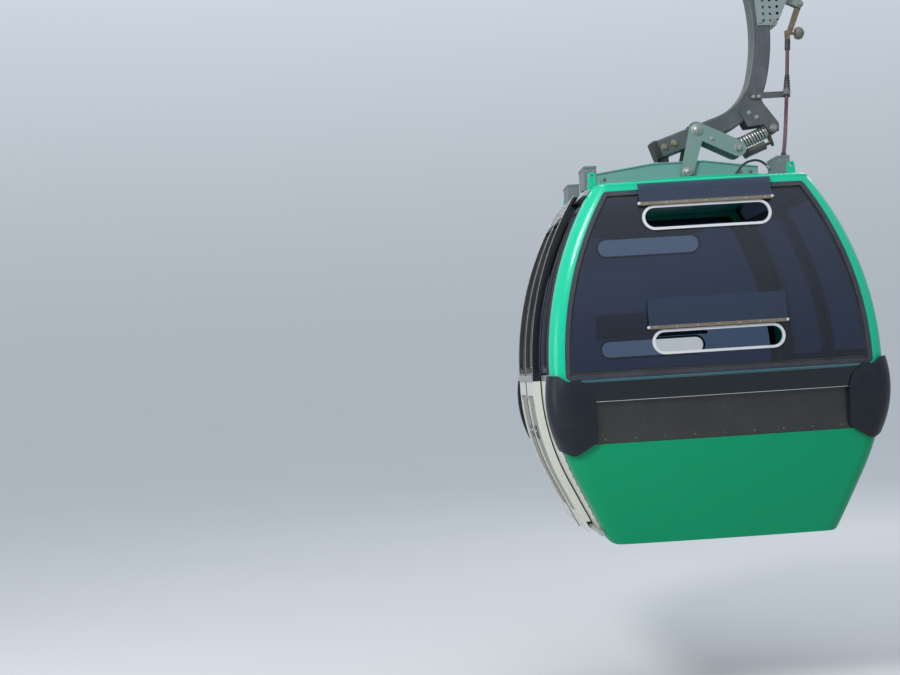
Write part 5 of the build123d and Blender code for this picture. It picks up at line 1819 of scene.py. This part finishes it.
@dataclass
class Suspension(Assembly):
    """Spring with its seats and the damper beside it, in place of the plain unit."""

    start: Pair = (0.398, 0.287)
    angle: float = math.radians(21.3)
    length: float = 0.236
    below: float = 0.069
    seats: Pair = (0.024, 0.204)
    seat_thick: float = 0.008
    seat_r: float = 0.041
    seat_rim: float = 0.97
    turns: int = 9
    coil_r: float = 0.0335
    wire_r: float = 0.0066
    bar_r: float = 0.013
    bar_halves: Pair = (0.0578, 0.0548)
    ease: float = 0.001
    eye_half: float = 0.040
    eye_radii: Pair = (0.023, 0.027)
    eye_below: float = 0.004
    damper_r: float = 0.0265
    damper_wall: float = 0.0015
    damper_rod_r: float = 0.0095

    def build(self) -> None:
        """Make the coil, the seats with rod and bars, the damper and the eyes."""
        coil = self.add(self.coil(), "suspension_coil", "spring_wire")
        frame = self.add(self.frame(), "suspension_seats", "spring_dark")
        damper = self.add(self.damper(), "suspension_damper", "spring_dark")
        eyes = self.add(self.eyes(), "suspension_eyes", "lever_bronze")
        for piece in (coil, frame, damper, eyes):
            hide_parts("suspension_unit")

    def axes(self) -> tuple[np.ndarray, np.ndarray, np.ndarray]:
        """Place and directions of the spring.

        Returns:
            Start of its axis, the axis's direction and the direction down to the damper.
        """
        cos, sin = math.cos(self.angle), math.sin(self.angle)
        start = np.array([self.start[0], 0.0, ROOF_Z + self.start[1]])
        return start, np.array([cos, 0.0, sin]), np.array([sin, 0.0, -cos])

    def coil(self) -> Batch:
        """Helix: the wire's centre turns round the axis while it moves along it, flat at both ends.

        Returns:
            The shells.
        """
        batch = Batch()
        start, way, down = self.axes()
        offset, climb = helix(self.turns, self.turns * 28, self.coil_r)
        first = self.seats[0] + self.seat_thick + self.wire_r
        run = first + (self.seats[1] - self.wire_r - first) * climb
        path = start + run[:, None] * way + offset[:, :1] * down + offset[:, 1:] * ALONG_ROPE
        tube(batch, path, circle(self.wire_r, 12), way)
        return batch

    def frame(self) -> Batch:
        """Two seat plates with eased rims, the rod through the spring and a cross bar at each end.

        Returns:
            The shells.
        """
        batch = Batch()
        start, way, down = self.axes()
        outline = link_outline(self.seat_r, self.damper_r, self.below)
        middle = down * self.below / 2
        spread = outline[:, :1] * down + outline[:, 1:] * ALONG_ROPE - middle
        rim, thick, eased = self.seat_rim, self.seat_thick, self.ease
        for seat in self.seats:
            rows = ((0.0, rim), (eased, 1.0), (thick - eased, 1.0), (thick, rim))
            points = [start + way * (seat + lift) + middle + scale * spread for lift, scale in rows]
            closed_prism(batch, np.stack(points))
        turned(batch, [(0.0, self.bar_r), (self.length, self.bar_r)], start, way, 24)
        for run, half in zip((0.0, self.length), self.bar_halves):
            bar = [(-half, self.bar_r - eased), (-half + eased, self.bar_r), (half - eased, self.bar_r),
                   (half, self.bar_r - eased)]
            turned(batch, bar, start + way * run, ALONG_ROPE, 24)
        return batch

    def eyes(self) -> Batch:
        """Rusted eye round the bar at each end: turned, with its rims rounded.

        Returns:
            The shells.
        """
        batch = Batch()
        start, way, down = self.axes()
        for run, radius in zip((0.0, self.length), self.eye_radii):
            rim = ((self.eye_half, radius * 0.8), (self.eye_half - 0.001, radius * 0.93),
                   (self.eye_half - 0.005, radius))
            profile = [(-along, across) for along, across in rim] + list(reversed(rim))
            turned(batch, profile, start + way * run + down * self.eye_below, ALONG_ROPE, 28)
        return batch

    def damper(self) -> Batch:
        """Body with end rings, its shoulder and the thinner rod that slides in it.

        Returns:
            The shells.
        """
        batch = Batch()
        start, way, down = self.axes()
        low = self.seats[0] + self.seat_thick - SUNK
        body, ring, rod = self.damper_r - self.damper_wall, self.damper_r, self.damper_rod_r
        profile = [(low, body), (low + 0.002, ring), (low + 0.012, ring), (low + 0.013, body),
                   (low + 0.122, body), (low + 0.123, ring), (low + 0.133, ring), (low + 0.137, 0.0170),
                   (low + 0.140, rod), (self.seats[1], rod)]
        turned(batch, profile, start + down * self.below, way, 32)
        return batch


@dataclass
class DoorGear(Assembly):
    """Boot, ferrules and bolts of the door cable and its lever."""

    route: tuple[Triple, ...] = ((0.759, 0.003, 0.918), (0.703, -0.084, 0.558),
                                                     (0.610, -0.300, 0.270), (0.568, -0.380, 0.146))
    top_rise: float = 0.905
    sleeve: Pairs = ((-0.070, 0.0125), (-0.066, 0.0165), (-0.040, 0.0165), (-0.038, 0.0150),
                       (-0.034, 0.0150), (-0.032, 0.0165), (-0.004, 0.0165), (-0.001, 0.0120))
    nut: Pairs = ((0.003, 0.019), (0.010, 0.019), (0.013, 0.016), (0.034, 0.0145), (0.038, 0.0118))
    nut_sunk: float = 0.0008
    boot_foot: float = 0.021
    boot_length: float = 0.105
    boot_r: float = 0.0205
    boot_taper: float = 0.0070
    fold_depth: float = 0.0018
    folds: int = 6
    boot_rims: Pair = (0.0150, 0.0115)
    guide_bolts_x: Pair = (0.507, 0.540)
    guide_face: float = -0.0774
    guide_rise: float = 0.560
    guide_bolt: float = 0.015
    roller: Pair = (0.8471, 0.941)
    roller_ring: float = 0.022
    roller_screws: int = 4
    roller_screw_r: float = 0.003
    pivot: Pair = (0.838, 1.112)
    pivot_face: float = 0.0305
    pivot_nut: float = 0.019

    def build(self) -> None:
        """Make every piece."""
        self.add(self.ferrules(), "cable_ferrules", "black_rubber")
        self.add(self.boot(), "cable_boot", "black_rubber")
        self.add(self.guide_bolts(), "guide_bolts", "zinc", smooth_deg=25)
        self.add(self.roller_cap(), "roller_cap", "zinc", "lever_roller")
        self.add(self.pivot_nuts(), "lever_nuts", "zinc", smooth_deg=25)

    def points(self) -> np.ndarray:
        """Corners of the route in the row frame."""
        return np.array(self.route) + [0, 0, ROOF_Z]

    def ferrules(self) -> Batch:
        """Dark sleeves over both ends of the sheath.

        Returns:
            The shells.
        """
        batch = Batch()
        corners = self.points()
        first = unit(corners[0] - corners[1])
        top = corners[0] + first * (ROOF_Z + self.top_rise - corners[0][2]) / first[2]
        turned(batch, self.sleeve, top, first, 24)
        last = unit(corners[2] - corners[3])
        turned(batch, self.nut, corners[3] - [0, 0, self.nut_sunk], last, 24)
        return batch

    def boot(self) -> Batch:
        """Folded boot above the guide: a cone round the sheath whose radius ripples along it.

        Returns:
            The shells.
        """
        batch = Batch()
        corners = self.points()
        upper = unit(corners[0] - corners[1])
        part = np.linspace(0, 1, 61)
        run = self.boot_foot + self.boot_length * part
        fold = (self.boot_r - self.boot_taper * part
                + self.fold_depth * np.cos(2 * math.pi * self.folds * part))
        fold[0], fold[-1] = self.boot_rims
        tube(batch, corners[1] + run[:, None] * upper, circle(1.0), scale=fold)
        return batch

    def guide_bolts(self) -> Batch:
        """Two bolts that hold the guide's arm to the damper bracket.

        Returns:
            The shells.
        """
        batch = Batch()
        for x in self.guide_bolts_x:
            hex_bolt(batch, (x, self.guide_face, ROOF_Z + self.guide_rise), (0, -1, 0), self.guide_bolt)
        return batch

    def roller_cap(self) -> Batch:
        """Ring of small screws on the outer face of the lever's roller.

        Returns:
            The shells.
        """
        batch = Batch()
        x, rise = self.roller
        for y, up in circle(self.roller_ring, self.roller_screws):
            pan_screw(batch, (x, y, ROOF_Z + rise + up), (1, 0, 0), self.roller_screw_r)
        return batch

    def pivot_nuts(self) -> Batch:
        """Nut on each end of the lever's pivot.

        Returns:
            The shells.
        """
        batch = Batch()
        x, rise = self.pivot
        bolt_pair(batch, x, self.pivot_face, rise, self.pivot_nut)
        return batch


@dataclass
class GripDress(Assembly):
    """Bolts, rivets and closing springs of the grip, and the hub screws of its rollers."""

    wheel: Triple = (0.150, 0.160, 0.062)
    wheel_half: float = 0.023
    hub_ring: float = 0.0255
    hub_count: int = 6
    hub_screw_r: float = 0.0032
    closer: Pair = (0.066, 0.078)
    coil_foot: float = 0.1175
    coil_climb: float = 0.0415
    coil_turns: int = 4
    coil_r: float = 0.0200
    wire_r: float = 0.0042
    rod: Pairs = ((0.112, 0.018), (0.1135, 0.0255), (0.1165, 0.0255), (0.1175, 0.014), (0.159, 0.014),
                    (0.160, 0.0225), (0.1648, 0.0225))
    plate_top: float = 0.177
    plate_rivets: int = 8
    rivet_half: float = 0.215
    rivet_x: Pair = (0.0, 0.116)
    rivet_r: float = 0.006

    def build(self) -> None:
        """Make every piece."""
        coils = self.add(self.coils(), "closer_coils", "spring_wire", "grip")
        rods = self.add(self.rods(), "closer_rods", "spring_dark", "grip")
        for piece in (coils, rods):
            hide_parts("grip_springs")
        self.add(self.bolts(), "grip_bolts", "zinc", "grip", 25)
        self.add(self.rivets(), "plate_rivets", "zinc", "grip")
        for end in End:
            self.add(self.hub_screws(end), f"hub_screws_{end.label}", "zinc", f"wheel_{end.label}")

    def coils(self) -> Batch:
        """Two short helices round their rods.

        Returns:
            The shells.
        """
        batch = Batch()
        offset, climb = helix(self.coil_turns, 132, self.coil_r)
        x, place = self.closer
        for y in (-place, place):
            path = grid_of(x + offset[:, 0], y + offset[:, 1], self.coil_foot + self.coil_climb * climb)
            tube(batch, path, circle(self.wire_r, 10), UP)
        return batch

    def rods(self) -> Batch:
        """Rods with a collar at both ends.

        Returns:
            The shells.
        """
        batch = Batch()
        x, place = self.closer
        for y in (-place, place):
            turned(batch, self.rod, (x, y, 0.0), UP)
        return batch

    def bolts(self) -> Batch:
        """Bolts on the rear face of the fixed jaw and on the carrier.

        Returns:
            The shells.
        """
        batch = Batch()
        # X, distance to both sides, Z and width over corners
        rows = ((0.096, 0.045, 0.008, 0.020), (0.096, 0.095, 0.008, 0.020), (0.120, 0.070, 0.060, 0.016))
        for x, place, z, across in rows:
            for y in (-place, place):
                hex_bolt(batch, (x, y, z), (1, 0, 0), across)
        return batch

    def rivets(self) -> Batch:
        """Countersunk heads along both edges of the friction plate.

        Returns:
            The shells.
        """
        batch = Batch()
        for y in np.linspace(-self.rivet_half, self.rivet_half, self.plate_rivets):
            for x in self.rivet_x:
                pan_screw(batch, (x, y, self.plate_top), UP, self.rivet_r)
        return batch

    def hub_screws(self, end: End) -> Batch:
        """Screws round the hub of a running roller.

        Args:
            end: Which roller.

        Returns:
            The shells.
        """
        batch = Batch()
        x, y, z = self.wheel
        for dy, dz in circle(self.hub_ring, self.hub_count):
            seat = (x + self.wheel_half, end.value * y + dy, z + dz)
            pan_screw(batch, seat, (1, 0, 0), self.hub_screw_r)
        return batch


@dataclass
class Interior(Assembly):
    """Pads on both benches and the studded mat on the floor."""

    seat_drop: float = 1.450
    wall_in: float = 0.062
    pads: tuple[float, ...] = (-0.455, 0.0, 0.455)
    half: float = 0.215
    puff: float = 0.030
    seat_middle: float = 0.235
    seat_half: float = 0.180
    seat_slope: float = 0.012 / 0.43
    seat_sunk: float = 0.004
    back_puff: float = 0.026
    back_out: float = 0.030
    back_drop: float = 1.225
    back_half: float = 0.170
    back_top: float = 1.010
    back_slope: float = 0.006 / 0.44
    back_sunk: float = 0.006
    mat_half: Pair = (0.50, 0.36)
    mat_drop: float = 1.868
    mat_thick: float = 0.004
    stud_half: Pair = (0.46, 0.32)
    stud_rows: tuple[int, int] = (13, 9)
    stud: Pairs = ((0.0035, 0.013), (0.0055, 0.011), (0.006, 0.006))

    def build(self) -> None:
        """Make every piece."""
        self.add(self.cushions(), "bench_pads", "seat_pad", smooth_deg=60)
        self.add(self.mat(), "floor_mat", "black_rubber")

    def cushions(self) -> Batch:
        """Pillows: full height in the middle, falling off with the sixth power towards the rim.

        Returns:
            The shells.
        """
        batch = Batch()
        u, v = unit_grid(21, 17)
        full = np.clip((1 - u ** 6) * (1 - v ** 6), 0, None) ** 0.5
        wall = self.wall_in - float(FORM.end_y(self.seat_drop))
        y = wall + self.seat_middle + self.seat_half * v
        base = ROOF_Z - self.seat_drop + self.seat_slope * (y - wall)
        drop = self.back_drop + self.back_half * v
        back = wall + self.back_out + self.back_slope * (drop - self.back_top)
        for middle in self.pads:
            x = middle + self.half * u
            slab(batch, grid_of(x, y, base + self.puff * full), grid_of(x, y, base - self.seat_sunk))
            slab(batch, grid_of(x, back + self.back_puff * full, ROOF_Z - drop),
                 grid_of(x, back - self.back_sunk, ROOF_Z - drop))
        batch.mirrored(1)
        return batch

    def mat(self) -> Batch:
        """Mat with rows of low round studs.

        Returns:
            The shells.
        """
        batch = Batch()
        u, v = unit_grid(9, 9)
        floor = ROOF_Z - self.mat_drop
        plate(batch, grid_of(self.mat_half[0] * u, self.mat_half[1] * v, floor), self.mat_thick, SUNK)
        across, along = (np.linspace(-half, half, n) for half, n in zip(self.stud_half, self.stud_rows))
        for x in across:
            for y in along:
                turned(batch, self.stud, (x, y, floor), UP, 10)
        return batch


# Stage


@dataclass
class Studio:
    """Pale floor and sky, soft lamps and the camera of the photograph."""

    camera_at: Triple = (-1.696, -7.901, -2.929)
    pitch: float = math.radians(1.85)
    heading: float = math.radians(2.29)
    roll: float = math.radians(3.6)
    lens: float = 54.0
    sensor: float = 36.0
    sight: float = 200.0
    floor_z: float = -4.75
    floor_reach: float = 400.0
    paper: tuple[Rgb, Rgb] = ((0.525, 0.53, 0.535), (0.535, 0.54, 0.545))
    lamps_aim: Triple = (0.0, 0.0, -2.6)
    horizon: Rgb = (0.415, 0.46, 0.51)
    sky: Rgb = (0.80, 0.88, 0.98)
    sky_from: float = 0.55

    def build(self) -> None:
        """Make everything."""
        self.place_camera()
        self.lay_floor()
        self.hang_lamps()
        self.light_world()

    def place_camera(self) -> None:
        """Camera turned by its heading and pitch, then by the cabin's own tilt."""
        data = bpy.data.cameras.new("camera")
        data.lens = self.lens
        data.sensor_width = self.sensor
        data.clip_end = self.sight
        camera = new_object("camera", data)
        turn = (Matrix.Rotation(self.roll, 4, "Y") @ Matrix.Rotation(-self.heading, 4, "Z")
                @ Matrix.Rotation(self.pitch + math.pi / 2, 4, "X"))
        camera.matrix_world = Matrix.Translation(self.camera_at) @ turn
        bpy.context.scene.camera = camera

    def lay_floor(self) -> None:
        """Wide pale floor that is clear from beneath, so that the cabin shows from below too."""
        mesh = bpy.data.meshes.new("floor")
        corners = [(x * self.floor_reach, y * self.floor_reach, self.floor_z)
                   for x, y in ((-1, -1), (1, -1), (1, 1), (-1, 1))]
        mesh.from_pydata(corners, [], [(0, 1, 2, 3)])
        material, n, shader = new_material("floor_paper")
        light, dark = ((*tone, 1) for tone in self.paper)
        paper = n.mix(n.span(n.noise(n.where(), 0.4, 2.0), 0.3, 0.7), light, dark)
        n.feed(shader, {"Base Color": paper, "Roughness": 0.9, "Specular IOR Level": 0.1})
        under = n.put("ShaderNodeNewGeometry").outputs["Backfacing"]
        clear = n.put("ShaderNodeBsdfTransparent").outputs["BSDF"]
        both = n.put("ShaderNodeMixShader", {0: under, 1: shader.outputs["BSDF"], 2: clear})
        n.feed(material.node_tree.nodes["Material Output"], {"Surface": both.outputs["Shader"]})
        mesh.materials.append(material)
        floor = new_object("floor", mesh)

    def hang_lamps(self) -> None:
        """Large soft key from the upper front, a weaker fill and a rim lamp behind."""
        # Name, place, size, power and colour
        lamps = (("key", (-5.0, -6.0, 3.2), 3.0, 620.0, (1.0, 0.985, 0.96)),
                 ("fill", (-8.5, -2.5, -2.0), 4.0, 120.0, (0.94, 0.97, 1.0)),
                 ("rim", (4.5, 5.5, 2.5), 4.0, 200.0, (1.0, 1.0, 1.0)))
        for name, spot, size, power, tone in lamps:
            data = bpy.data.lights.new(name, "AREA")
            data.shape = "DISK"
            data.size = size
            data.energy = power
            data.color = tone
            lamp = new_object(name, data)
            lamp.location = spot
            aim = Vector(self.lamps_aim) - Vector(spot)
            lamp.rotation_euler = aim.to_track_quat("-Z", "Y").to_euler()

    def light_world(self) -> None:
        """Surroundings that brighten from a dim horizon to a pale sky, which the glass mirrors."""
        world = bpy.data.worlds.new("studio")
        world.use_nodes = True
        n = Nodes(world.node_tree)
        rise = n.span(n.parts(n.where())[2], 0.0, self.sky_from)
        shade = n.mix(rise, (*self.horizon, 1), (*self.sky, 1))
        n.feed(world.node_tree.nodes["Background"], {"Color": shade, "Strength": 1.0})
        bpy.context.scene.world = world


def main() -> None:
    """Load the frame, dress it, add the pieces and set the stage."""
    logging.basicConfig(level=logging.INFO, format="%(message)s")
    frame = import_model()
    bpy.context.scene.view_settings.view_transform = "Standard"
    finishes = Finishes()
    dress_frame(frame, finishes)
    for end in End:
        for kind in (EndGlazing, BeltTrim, BumperPlugs, DoorDress):
            kind(finishes, end).build()
    for kind in (SideDress, RoofDress, HangerDress, Suspension, DoorGear, GripDress, Interior):
        kind(finishes).build()
    Studio().build()


if __name__ == "__main__":
    main()
